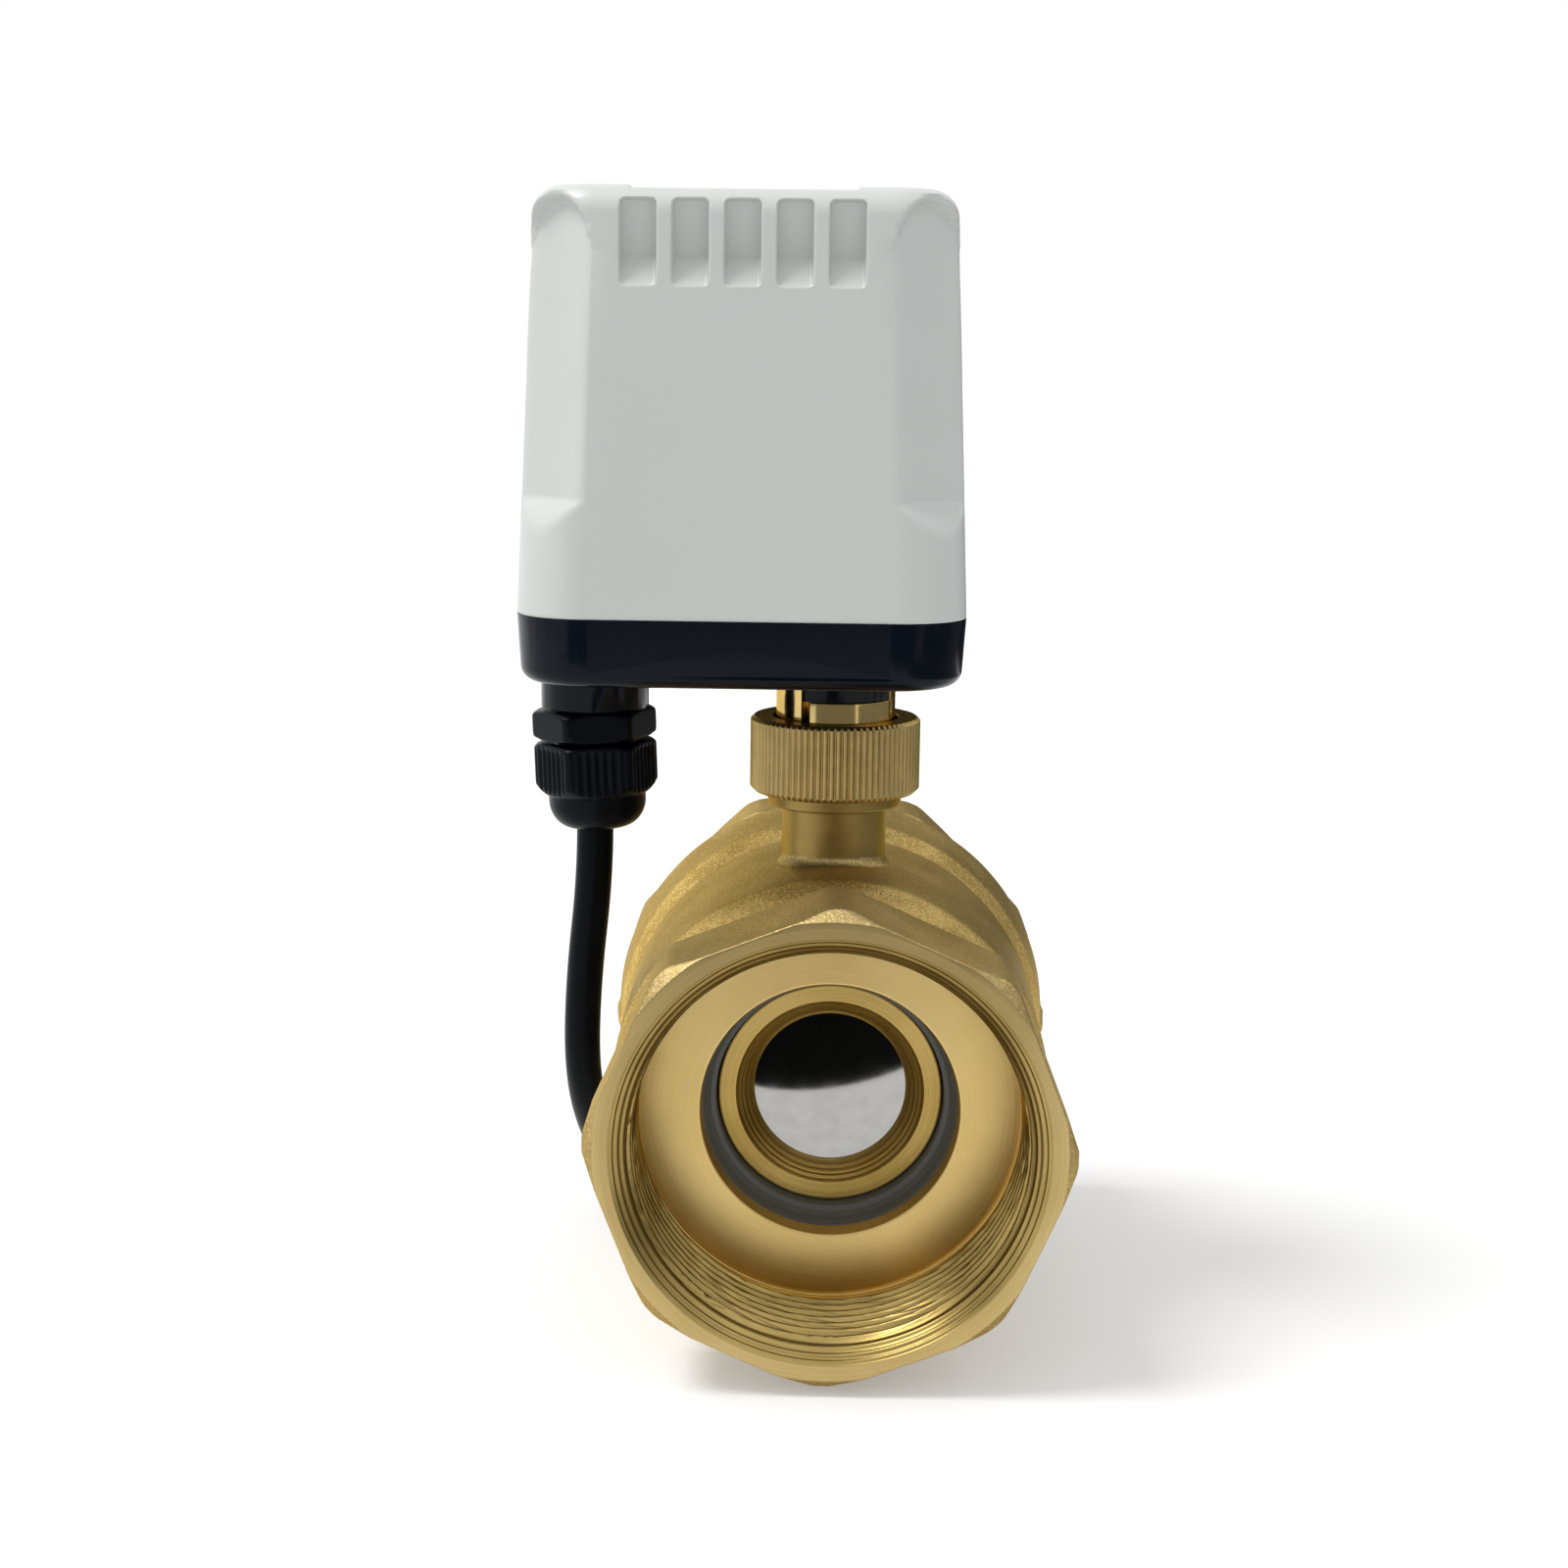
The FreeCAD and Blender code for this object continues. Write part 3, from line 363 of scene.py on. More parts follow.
def chromePlate():
    finish, here = newSurface("chrome")
    cloud = here.noise(0.4, 2.0)
    facing = here.add("ShaderNodeNewGeometry", {}, {}, "Normal")
    flatter = facing.vector("NORMALIZE", facing.vector("MULTIPLY", facing, (1, chrome["flatness"], 1)))
    return surface(finish, {
        "Base Color": cloud.smooth(0.3, 0.7).colour(chrome["deep"], chrome["tone"]),
        "Metallic": 1.0,
        "Roughness": chrome["roughness"] + cloud * 0.03,
        "Normal": flatter,
    })


plasticTones = {
    "lightPlastic": (0.54, 0.563, 0.548, 1),
    "navyPlastic": (0.0003, 0.0024, 0.0070, 1),
    "blackPlastic": (0.0006, 0.0018, 0.0048, 1),
    "gearPlastic": (0.72, 0.69, 0.60, 1),
    "ptfe": (0.75, 0.75, 0.73, 1),
    "darkRubber": (0.115, 0.117, 0.108, 1),
    "cableSheath": (0.0008, 0.0018, 0.0034, 1),
}


def plasticFinish(name, roughness, texture=0.15, coat=0.0, gloss=0.5):
    finish, here = newSurface(name)
    tone = plasticTones[name]
    fine = here.noise(2.2, 3.0, 0.6)
    return surface(finish, {
        "Base Color": mottled(here.noise(0.05, 2.0), tone, 0.97),
        "Roughness": roughness + fine * 0.07,
        "Specular IOR Level": gloss,
        "Coat Weight": coat,
        "Coat Roughness": 0.12,
        "Normal": bump(fine, texture, 0.02),
    })


wires = {
    "pivot": (3.2, 118.1),  # mm, where the three wires leave the cable
    "limits": (13.1, 14.9),  # mm from there, between the inner, the middle and the outer wire
    "edge": 0.1,
    "inner": (0.02, 0.07, 0.32, 1),
    "middle": (0.30, 0.33, 0.03, 1),
    "outer": (0.14, 0.045, 0.02, 1),
    "roughness": 0.35,
}


def wireSleeves():
    finish, here = newSurface("wireSleeves")
    parts = here.part("X")
    (x, y), soft = wires["pivot"], wires["edge"]
    reach = fromPoint(parts - x, parts.other("Y") - y)
    nearer, farther = (reach.smooth(limit - soft, limit + soft) for limit in wires["limits"])
    return surface(finish, {
        "Base Color": farther.colour(nearer.colour(wires["inner"], wires["middle"]), wires["outer"]),
        "Roughness": wires["roughness"] + here.noise(2.2) * 0.06,
    })


board = {
    "top": 102.65,  # mm
    "limits": (44.65, 53.25),  # along the pipe: the relay, the capacitor, the terminals
    "edge": 0.05,
    "lacquer": (0.02, 0.13, 0.06, 1),
    "relay": (0.012, 0.012, 0.014, 1),
    "capacitor": (0.015, 0.02, 0.07, 1),
    "terminals": (0.05, 0.30, 0.13, 1),
    "roughness": 0.3,
}


def boardParts():
    finish, here = newSurface("boardLacquer")
    y, soft = here.part("Y"), board["edge"]
    pastRelay, atTerminals = (y.smooth(limit - soft, limit + soft) for limit in board["limits"])
    front = pastRelay.colour(board["relay"], board["capacitor"])
    above = y.other("Z").smooth(board["top"] - 0.03, board["top"] + 0.03)
    return surface(finish, {
        "Base Color": above.colour(board["lacquer"], atTerminals.colour(front, board["terminals"])),
        "Roughness": board["roughness"] + here.noise(2.2) * 0.08,
    })


finishes = {
    "blasted": blastedBrass(),
    "faced": turnedBrass("faced", spread=0.8),
    "turned": turnedBrass("turned", spread=0.5),
    "shadedThreaded": turnedBrass("shadedThreaded", spread=1.0),
    "grooved": turnedBrass("grooved", spread=1.6),
    "satin": plainBrass("satin", roughness=0.30),
    "neck": plainBrass("neck", roughness=0.36),
    "polished": plainBrass("polished", roughness=0.08),
    "chrome": chromePlate(),
    "steel": metalFinish("platedSteel", (0.60, 0.60, 0.62, 1), roughness=0.26),
    "lightPlastic": plasticFinish("lightPlastic", roughness=0.32, texture=0.12, coat=0.15),
    "navyPlastic": plasticFinish("navyPlastic", roughness=0.15, texture=0.1, gloss=0.14),
    "blackPlastic": plasticFinish("blackPlastic", roughness=0.28, texture=0.3, gloss=0.09),
    "gearPlastic": plasticFinish("gearPlastic", roughness=0.4),
    "board": boardParts(),
    "ptfe": plasticFinish("ptfe", roughness=0.45),
    "rubber": plasticFinish("darkRubber", roughness=0.34, texture=0.2, gloss=0.4),
    "sheath": plasticFinish("cableSheath", roughness=0.32, texture=0.3, gloss=0.07),
    "wire": wireSleeves(),
}
print("finishes made")


# Mesh helpers; sizes in mm

def smoothMin(a, b, width):
    h = np.clip(0.5 + 0.5 * (b - a) / width, 0, 1)
    return b * (1 - h) + a * h - width * h * (1 - h)


def smoothStep(low, high, value):
    t = np.clip((value - low) / (high - low), 0, 1)
    return t * t * (3 - 2 * t)


def spaced(values, gap):  # in order, without those that come closer than the gap
    kept = []
    for value in sorted(values):
        if not kept or value - kept[-1] > gap:
            kept.append(value)
    return kept


def polygonAt(angles, sides, flats, turn, soft):  # radius of a polygon with softened corners
    half = pi / sides
    fromCorner = np.abs(np.mod(angles - radians(turn) + half, 2 * half) - half)
    here, beside = (flats / 2 / np.cos(half + side * fromCorner) for side in (-1, 1))
    return smoothMin(here, beside, soft)


def filleted(corners, closed=True, steps=4, hold=0.12):  # rounds an outline of along, radius, fillet
    points, count = [], len(corners)
    for i, corner in enumerate(corners):
        here, fillet = np.array(corner[:2], float), corner[2] if len(corner) > 2 else 0
        if not fillet or (not closed and i in (0, count - 1)):
            points.append(tuple(here))
            continue
        before = np.array(corners[i - 1][:2], float) - here
        after = np.array(corners[(i + 1) % count][:2], float) - here
        before /= np.linalg.norm(before)
        after /= np.linalg.norm(after)
        half = acos(np.clip(before @ after, -1, 1)) / 2
        reach = fillet / tan(half)
        inward = (before + after) / np.linalg.norm(before + after)
        centre = here + inward * fillet / sin(half)
        start, end = here + before * reach, here + after * reach
        sweep = pi - 2 * half
        points.append(tuple(start + before * hold * fillet))
        for k in range(steps + 1):
            a = sweep * k / steps
            spoke = ((start - centre) * sin(sweep - a) + (end - centre) * sin(a)) / sin(sweep)
            points.append(tuple(centre + spoke))
        points.append(tuple(end + after * hold * fillet))
    return points


def objectFrom(name, shell, finish, node, rider="valve", paint=None):
    points, faces = shell
    mesh = bpy.data.meshes.new(name)
    mesh.from_pydata((np.asarray(points) * mm).tolist(), [], faces)
    shaped = bmesh.new()
    shaped.from_mesh(mesh)
    bmesh.ops.remove_doubles(shaped, verts=shaped.verts, dist=1e-7)
    bmesh.ops.recalc_face_normals(shaped, faces=shaped.faces)
    for face in shaped.faces:
        face.smooth = True
    shaped.to_mesh(mesh)
    shaped.free()
    for one in finish:
        mesh.materials.append(finishes[one])
    if paint:
        centres = np.empty(len(mesh.polygons) * 3)
        mesh.polygons.foreach_get("center", centres)
        mesh.polygons.foreach_set("material_index", paint(centres.reshape(-1, 3) / mm).astype(np.int32))
    piece = addObject(name, mesh)
    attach(piece, rider)
    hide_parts(node)
    return piece


def gridFaces(rows, columns, closed):
    faces = []
    for i in range(rows if closed else rows - 1):
        a, b = i * columns, (i + 1) % rows * columns
        for j in range(columns):
            k = (j + 1) % columns
            faces.append((a + j, a + k, b + k, b + j))
    return faces


def lathe(outline, angles=None, steps=160, axis="z", centre=(0.0, stemY), radiusAt=None):
    angles = np.linspace(0, 2 * pi, steps, endpoint=False) if angles is None else angles
    rings = []
    for row in outline:
        along, radius = row[0], np.full(len(angles), float(row[1]))
        if radiusAt:
            radius = radiusAt(angles, along, radius, row)
        x, other = radius * np.cos(angles), radius * np.sin(angles)
        level = np.full(len(angles), float(along))
        rings.append((x, level, other) if axis == "y" else (centre[0] + x, centre[1] + other, level))
    points = np.concatenate([np.stack(ring, 1) for ring in rings])
    return points, gridFaces(len(rings), len(angles), True)


def together(*shells):  # several closed shells as one mesh
    points, faces, count = [], [], 0
    for shell in shells:
        points.append(np.asarray(shell[0]))
        faces += [tuple(count + v for v in face) for face in shell[1]]
        count += len(shell[0])
    return np.concatenate(points), faces


def fromRear(shell):  # the same shell, turned to face the rear port
    points = shell[0].copy()
    points[:, 1] = body["length"] - points[:, 1]
    return points, shell[1]


# Valve body and end cap

body = {
    "length": 95.0,
    "front": {"flats": 66.5, "length": 16.5, "twist": -1.3, "corner": 35.4, "foot": 31.4},  # the octagons
    "rear": {"flats": 68.3, "length": 14.7, "twist": 22.5, "corner": 36.4, "foot": 31.9},
    "chamfer": (1.9, 1.5),  # turned off the corners: along the pipe and outwards
    "mouth": 31.5,
    "bore": 29.3,
    "depth": 20.7,
    "threadPitch": 2.309,
    "threadHeight": 1.40,
    "threadSharp": 1.3,
    "threadEnd": 18.9,
    "threadFade": (-0.5, 6.0),  # from the mouth
    "mouthRings": (0.77, 0.1),  # pitch and height
    "sealBore": 19.4,
    "cavity": 18.6,
    "cavitySpan": (38.5, 56.5),
    "capBore": 32.5,  # in the rear ring, for the end cap's spigot
    "capSeat": 67.5,
    "spigot": 32.45,
    "spigotDepth": 26.5,
    "waist": 33.6,
    "end": 80.0,
    "outline": ((17.5, 31.4, 0.5), (30.0, 33.6, 0.3), (62.5, 33.9, 2.5), (68.0, 35.3, 1.8), (79.4, 36.4, 0.5),
                (80.0, 35.8, 0.25)),  # along the pipe, radius, rounding
    "castSpan": (17.6, 79.3),
    "parting": (0.5, 0.85),  # height and half width of the mould's line
    "neck": 8.15,
    "neckFillet": 1.5,
    "neckSpan": (26.0, 38.5),  # its buried root, and where its even part ends
    "neckHead": 10.48,
    "neckHeadBottom": 42.1,
    "neckTop": 51.0,
    "stemBore": 5.6,
    "stemBoreBottom": 30.0,
    "faced": 0.012,  # how deep the face's own finish goes
    "threadInner": 27.8,
    "bareShadedNeck": (34.6, 40.5, 8.4),  # from the blasting up to the head, and a radius between them: the neck's smoother finish, painted darker as painted shade
}


def sectorAngles(twist):  # columns of an octagon, closer at its corners
    offsets = [0, 0.3, 0.75, 1.5] + [3 + 1.5 * i for i in range(27)] + [43.5, 44.25, 44.7]
    angles = [twist + 45 * k + o for k in range(8) for o in offsets]
    angles += [side + o for side in (0, 180) for o in (-1.7, -1.0, -0.5, 0, 0.5, 1.0, 1.7)]  # by the parting
    return np.radians(spaced((a % 360 for a in angles), 0.12))


def castWaves(angles, along):  # the low unevenness of a casting
    return 0.05 * (np.sin(3 * angles + along * 0.21) * np.sin(5 * angles - along * 0.33 + 1.7)
                   + np.sin(9 * angles + along * 0.47 + 0.6) * 0.6)


def boreRadius(angles, along, mirrored):
    lead = angles / (2 * pi) * (-1 if mirrored else 1)
    phase = np.mod(along / body["threadPitch"] + lead, 1.0)
    flank = np.clip((np.abs(2 * phase - 1) * 2 - 1) * body["threadSharp"], -1, 1)
    fade = smoothStep(body["depth"] - 0.3, body["threadEnd"], along) * smoothStep(*body["threadFade"], along)
    thread = body["bore"] - 0.16 + body["threadHeight"] / 2 * flank * fade
    pitch, height = body["mouthRings"]
    cone = body["mouth"] - along + height * np.cos(2 * pi * along / pitch) * smoothStep(0.1, 0.5, along)
    return -smoothMin(-thread, -cone, 0.4)


def portRadius(end, mirrored):
    def radiusAt(angles, along, radius, row):
        kind = row[2] if len(row) > 2 else "plain"
        if kind == "thread":
            return boreRadius(angles, along, mirrored)
        if kind == "octagon":
            octagon = polygonAt(angles, 8, end["flats"], end["twist"], 0.3)
            return smoothMin(octagon - row[3], radius, 0.12)
        if kind == "cast":
            height, width = body["parting"]
            ridge = height * np.exp(-(radius * np.sin(angles) / width) ** 2)
            return radius + castWaves(angles, along) + ridge * smoothStep(29, 30.5, along)
        return radius
    return radiusAt


def octagonRows(end):  # from the mouth over the face and flats to the rear edge
    length, corner, foot, (depth, rise) = end["length"], end["corner"], end["foot"], body["chamfer"]
    inner = corner - rise
    rows = [(0, body["mouth"]), (0, body["mouth"] + 0.15)]
    rows += [(0, inner - 1.2, "octagon", 0.6), (0, inner - 0.1, "octagon", 0.16)]
    for y, inset in ((0.04, 0.06), (0.12, 0.01), *((y, 0) for y in (0.22, 0.5, 0.8, 1.1, 1.4, 1.7))):
        rows.append((y, inner + rise * y / depth, "octagon", inset))
    levels = (depth, depth + 0.2, 4.0, 7.0, 10.0, length - 1.0, length - 0.5)
    rows += [(y, corner, "octagon", 0) for y in levels]
    rows += [(length - 0.25, corner - 0.04, "octagon", 0), (length - 0.1, corner - 0.15, "octagon", 0.05)]
    rows += [(length, corner - 0.3, "octagon", 0.15), (length, corner - 0.6, "octagon", 0.4)]
    return rows + [(length, foot + 0.5), (length, foot + 0.12)]


def boreRows():  # from the seal bore out over the shoulder and the thread to the mouth
    depth, y = body["depth"], body["threadEnd"]
    rows = [(depth, r) for r in (body["sealBore"] + 0.25, body["sealBore"] + 0.4, 22, 25, 27.5, 28.9, 29.2)]
    rows += [(depth - d, 0, "thread") for d in (0.05, 0.2, 0.45, 0.75, 1.1, 1.45)]
    while y > 1.5:
        rows.append((y, 0, "thread"))
        y -= body["threadPitch"] / 10
    levels = (1.38, 1.26, 1.14, 1.02, 0.9, 0.78, 0.66, 0.54, 0.42, 0.3, 0.18, 0.08, 0.02)
    return rows + [(y, 0, "thread") for y in levels]


def castOutline():
    first = (body["front"]["length"] - 0.1, body["front"]["foot"])
    outline = filleted([first, *body["outline"], (body["end"], body["capBore"] + 0.5)], closed=False)
    dense = []
    for (y0, r0), (y1, r1) in zip(outline, outline[1:]):
        parts = max(1, round(hypot(y1 - y0, r1 - r0) / 2.0))
        dense += [(y0 + (y1 - y0) * k / parts, r0 + (r1 - r0) * k / parts) for k in range(parts)]
    low, high = body["castSpan"]
    return [(y, r, "cast" if low < y < high else "plain") for y, r in dense[1:]]


def neckShell():
    b = body
    r, fillet, (root, foot) = b["neck"], b["neckFillet"], b["neckSpan"]
    angles = np.linspace(0, 2 * pi, 96, endpoint=False)
    rings = []

    def ring(radius, level, fromGround=False):  # its height, or that over the barrel's surface
        x, y = radius * np.cos(angles), radius * np.sin(angles)
        ground = np.sqrt(b["waist"] ** 2 - x ** 2) if fromGround else 0 * x
        rings.append(np.stack([x, stemY + y, ground + level], 1))

    ring(2.0, root)
    ring(r + fillet, -1.6, True)
    ring(r + fillet + 0.5, -0.5, True)
    for k in range(7):
        a = pi / 2 * k / 6
        ring(r + fillet * (1 - sin(a)), fillet * (1 - cos(a)) - 0.03, True)
    ring(r, foot)
    head = filleted([(foot, r), (b["neckHeadBottom"], r, 0.4), (b["neckHeadBottom"], b["neckHead"], 0.35),
                     (b["neckTop"], b["neckHead"], 0.4), (b["neckTop"], b["stemBore"]),
                     (b["stemBoreBottom"], b["stemBore"])], closed=False)
    for z, radius in head[1:]:
        ring(radius, z)
    ring(2.0, root)
    return np.concatenate(rings), gridFaces(len(rings), len(angles), True)


bodyFinishes = ["blasted", "faced", "turned", "shadedThreaded", "neck"]


def paintBody(mirrored):
    def paint(centres):
        x, along, z = centres.T
        y = body["length"] - along if mirrored else along
        r, fromStem = np.hypot(x, z), np.hypot(x, along - stemY)
        foot, headFoot, waist = body["bareShadedNeck"]
        face = y < body["faced"]
        # the shoulder and seal bore, in the brighter copy: painted light
        port = (r < body["mouth"]) & (y < 60) & (np.abs(along - stemY) > 9) & ~face
        # the thread, in the darker copy: painted shade
        thread = port & (y < body["threadEnd"] + 0.6) & (r > body["threadInner"])
        # the neck and its head: smoother, and painted darker as painted shade
        head = (z > headFoot) & (fromStem > waist)
        neck = (z > foot) & (fromStem < waist)
        return np.select([head | neck, thread, port, face], [4, 3, 2, 1], 0)  # places in bodyFinishes
    return paint


def portShell(end, middle, mirrored):  # an octagon outside, the middle's rows, and back through the port
    rows = octagonRows(end) + middle + boreRows()
    return lathe(rows, sectorAngles(end["twist"]), axis="y", radiusAt=portRadius(end, mirrored))


def makeBody():
    b = body
    seal, cap, seat, (low, high) = b["sealBore"], b["capBore"], b["capSeat"], b["cavitySpan"]
    inner = [(b["end"], cap + 0.2), (b["end"], cap + 0.05), (seat + 0.1, cap), (seat, cap - 0.1),
             (seat, seal + 0.1), (seat - 0.1, seal), (high, seal), (high - 0.1, b["cavity"]),
             (low + 0.1, b["cavity"]), (low, seal), (b["depth"] + 0.25, seal)]
    shell = portShell(b["front"], castOutline() + inner, False)
    objectFrom("valveBody", together(shell, neckShell()), bodyFinishes, "valve_body",
               paint=paintBody(False))


def makeEndCap():
    b = body
    spigot, end, seal = b["spigot"], b["spigotDepth"], b["sealBore"]
    middle = [(b["rear"]["length"], spigot), (end - 0.5, spigot), (end, spigot - 0.45), (end, seal + 0.2),
              (end - 0.1, seal), (b["depth"] + 0.25, seal)]
    shell = fromRear(portShell(b["rear"], middle, True))
    objectFrom("endCap", shell, bodyFinishes, "end_cap", paint=paintBody(True))


makeBody()
makeEndCap()
print("body made")


# Seats, seals and ball

seats = {
    "face": 30.0,
    "end": 38.5,
    "outer": 17.15,
    "mouth": 14.5,
    "throat": 11.7,
    "throatDepth": 33.39,
    "seatBore": (32.4, 15.9),  # how far forward and how wide it is opened for the soft seat
    "back": 12.4,
    "rings": 4,
    "ringStep": 0.07,
}
sealRing = ((28.2, 17.45, 0.2), (27.9, 18.2, 0.4), (26.9, 18.9, 0.9), (24.4, 19.34, 0.1), (24.5, 19.38),
            (38.4, 19.38), (38.4, 17.2), (31.2, 17.2), (31.0, 17.4))  # along the pipe, radius, rounding


def retainerOutline():
    s = seats
    face, throat, bottom = s["face"], s["throat"], s["throatDepth"]
    cone = []
    for i in range(s["rings"]):
        t0, t1 = (i + 0.55) / (s["rings"] + 0.6), (i + 0.95) / (s["rings"] + 0.6)
        for t, lift in ((t0, 0.0), (t0 + 0.02, s["ringStep"]), (t1, s["ringStep"] * 0.5), (t1 + 0.02, 0.0)):
            cone.append((face + (bottom - face) * t + lift, s["mouth"] + (throat - s["mouth"]) * t))
    floor, wide = s["seatBore"]
    return filleted([(face, s["outer"], 0.3), (s["end"], s["outer"], 0.2), (s["end"], wide), (floor, wide),
                     (floor, s["back"]), (bottom + 0.25, s["back"]), (bottom + 0.25, throat, 0.1),
                     (bottom, throat, 0.1)] + cone[::-1] + [(face, s["mouth"], 0.25)])


def bothEnds(name, outline, finish, node):
    shell = lathe(outline, axis="y")
    objectFrom("front" + name, shell, [finish], "front_" + node)
    objectFrom("rear" + name, fromRear(shell), [finish], "rear_" + node)


ball = {"radius": 18.1, "bore": 11.25, "edge": 0.6}


def makeBall():
    r, bore, edge = ball["radius"], ball["bore"], ball["edge"]
    edgeX = sqrt(r * r - (bore + edge) ** 2)
    inner = sqrt(r * r - bore * bore) - edge * 1.2
    outline = []
    for k in range(97):  # over the sphere from one mouth of the bore to the other
        a = acos(edgeX / r) + (pi - 2 * acos(edgeX / r)) * k / 96
        outline.append((r * cos(a), r * sin(a)))
    mouth = [(edgeX + 0.02, bore + edge * 0.45), (inner + 0.4, bore + 0.08), (inner, bore), (3, bore)]
    outline += [(-x, radius) for x, radius in mouth] + mouth[::-1]
    points, faces = lathe(outline, steps=192, axis="y")
    points = points[:, [1, 0, 2]]  # the bore lies across the pipe when the valve is shut
    points[:, 1] += stemY
    objectFrom("chromeBall", (points, faces), ["chrome"], "ball", "ball_drive")


bothEnds("Retainer", retainerOutline(), "grooved", "seat_retainer")
bothEnds("SealRing", filleted(sealRing), "rubber", "seal_ring")
makeBall()
print("seats and ball made")


# Union nut

nut = {
    "radius": 13.3,
    "bottom": 44.2,
    "top": 56.0,
    "flutes": 80,
    "fluteDepth": 0.42,
    "threadBore": 10.6,
    "lipBore": 9.75,
    "lipHeight": 2.4,
}


def makeNut():
    n = nut
    r, bottom, top, lip = n["radius"], n["bottom"], n["top"], n["lipBore"] + 0.1
    under = top - n["lipHeight"]
    outline = filleted([(bottom, n["threadBore"] + 0.05), (bottom, r - 0.75, 0.15),
                        (bottom + 0.75, r + 0.03, 0.12), (top - 0.6, r + 0.03, 0.12), (top, r - 0.6, 0.15),
                        (top, lip, 0.2), (under, lip), (under, n["threadBore"])])

    def radiusAt(angles, along, radius, row):
        groove = (0.5 + 0.5 * np.cos(n["flutes"] * angles)) ** 1.8
        return np.minimum(radius, r - n["fluteDepth"] * groove)

    shell = lathe(outline, steps=8 * n["flutes"], radiusAt=radiusAt)
    objectFrom("unionNut", shell, ["satin"], "union_nut", "union_nut")


makeNut()
print("union nut made")


# Slotted collar that hangs the nut

collar = {
    "radius": 9.3,
    "sleeve": 8.0,
    "bore": 6.6,
    "bottom": 51.1,
    "groove": (52.35, 53.55, 8.8),  # for the clip: bottom, top, radius
    "shoulder": 59.1,
    "keyTop": 63.6,
    "sleeveTop": 68.0,
    "keys": ((155.5, 235.5), (335.5, 415.5)),  # degrees
    "slit": (235.4, 244.4),
    "slitBottom": 54.0,
    "slitFloor": 7.6,
}


def makeCollar():
    c = collar
    edges = [a for pair in (*c["keys"], c["slit"]) for a in pair]
    turns = [3.0 * i for i in range(120)] + [a + step for a in edges for step in (-0.5, -0.2, 0, 0.2, 0.5)]
    turns = np.unique(np.round(np.mod(turns, 360), 2))
    turns = turns[np.append(np.diff(turns) > 0.08, True)]

    def between(angles, low, high):
        away = np.abs(np.mod(np.degrees(angles) - (low + high) / 2 + 180, 360) - 180)
        return 1 - smoothStep((high - low) / 2 - 0.12, (high - low) / 2 + 0.12, away)

    def radiusAt(angles, along, radius, row):
        if len(row) > 2:
            key = np.maximum(*(between(angles, low, high) for low, high in c["keys"]))
            radius = radius + (row[2] - radius) * key
        if c["slitBottom"] < along < c["keyTop"] + 0.01 and radius.max() > c["slitFloor"]:
            radius = radius + (c["slitFloor"] - radius) * between(angles, *c["slit"])
        return radius

    low, high, floor = c["groove"]
    r, sleeve, z, top, slit = c["radius"], c["sleeve"], c["shoulder"], c["keyTop"], c["slitBottom"]
    outline = [(c["bottom"], c["bore"]), (c["bottom"], r - 0.2), (c["bottom"] + 0.2, r), (low - 0.1, r),
               (low, r - 0.1), (low, floor), (high, floor), (high, r - 0.1), (high + 0.1, r),
               (slit - 0.02, r), (slit + 0.02, r), (z - 0.15, r, r), (z - 0.05, r - 0.04, r),
               (z, r - 0.14, r), (z, sleeve + 0.1, r), (z + 0.1, sleeve, r), (top - 0.15, sleeve, r),
               (top - 0.04, sleeve, r - 0.04), (top, sleeve, r - 0.14), (top, sleeve),
               (c["sleeveTop"], sleeve), (c["sleeveTop"], c["bore"])]
    shell = lathe(outline, np.radians(turns), radiusAt=radiusAt)
    objectFrom("slottedCollar", shell, ["polished"], "actuator_bush")


makeCollar()
print("collar made")


# Cover

cover = {
    "centre": (-14.2, 47.5),
    "half": (33.2, 30.0),
    "corner": 11.0,
    "bottom": 73.6,
    "top": 135.0,
    "draft": 2.55,
    "cornerDraft": 1.4,
    "edge": 4.0,  # rounding of the top edge
    "wall": 2.4,
    "vents": 5,
    "ventPitch": 7.4,
    "ventWidth": 5.0,
    "ventBottom": 120.9,
    "ventTop": 132.9,
    "ventCorner": 0.8,
    "ledgeTop": 125.3,
    "ventDepth": (3.3, 1.9),  # above the ledge and at the top, from the face at the ledge
    "ventFoot": 0.15,  # depth at the ledge's outer end
    "ventWall": ((18.6, 19.6), (116, 119)),  # where the wall behind them steps in: to each side and upwards
    "facetWidth": 9.8,
    "facetHollow": (0.3, 5.0),  # depth, and how far it goes to each side
    "facetFoot": 90.6,
    "scoop": (3.4, 8.0),  # runs out of the facet's foot: depth and height
    "facetEdge": (0.5, 1.0),  # softness of its edges, and of its arch
    "archSpan": (120, 126),  # the heights over which the one turns into the other
    "archTop": 132.6,
    "archRadius": 6.4,
    "archSlope": 1.6,
    "labelHalf": 16.2,  # shallow recess across the top
    "labelDepth": 0.55,
    "postRadius": 3.3,
    "postHole": 1.4,
    "postHeight": 8.5,
    "screwInset": (7.1, 7.5),
}
# the cover's mesh: its columns and rows are closer where its form changes
rim = (-0.55, -0.32, -0.2, -0.1, 0.0, 0.1, 0.2, 0.34, 0.6)  # across a vent's edge
labelRim = (-0.25, -0.1, 0.1, 0.25, 0.5)  # across the label recess's edge
bands = ((75.2, 84.1, 1.6), (84.8, 92.1, 0.4), (94, 118.1, 3.0), (121.9, 125.0, 0.7), (126, 130.9, 0.5))
innerLevels = (73.6, 80, 84, 86, 88, 90, 92, 96, 106, 114, 117, 118.5, 120, 122, 126, 130, 132.6)
sideColumns = range(-16, 17, 4)
arcSteps = 18


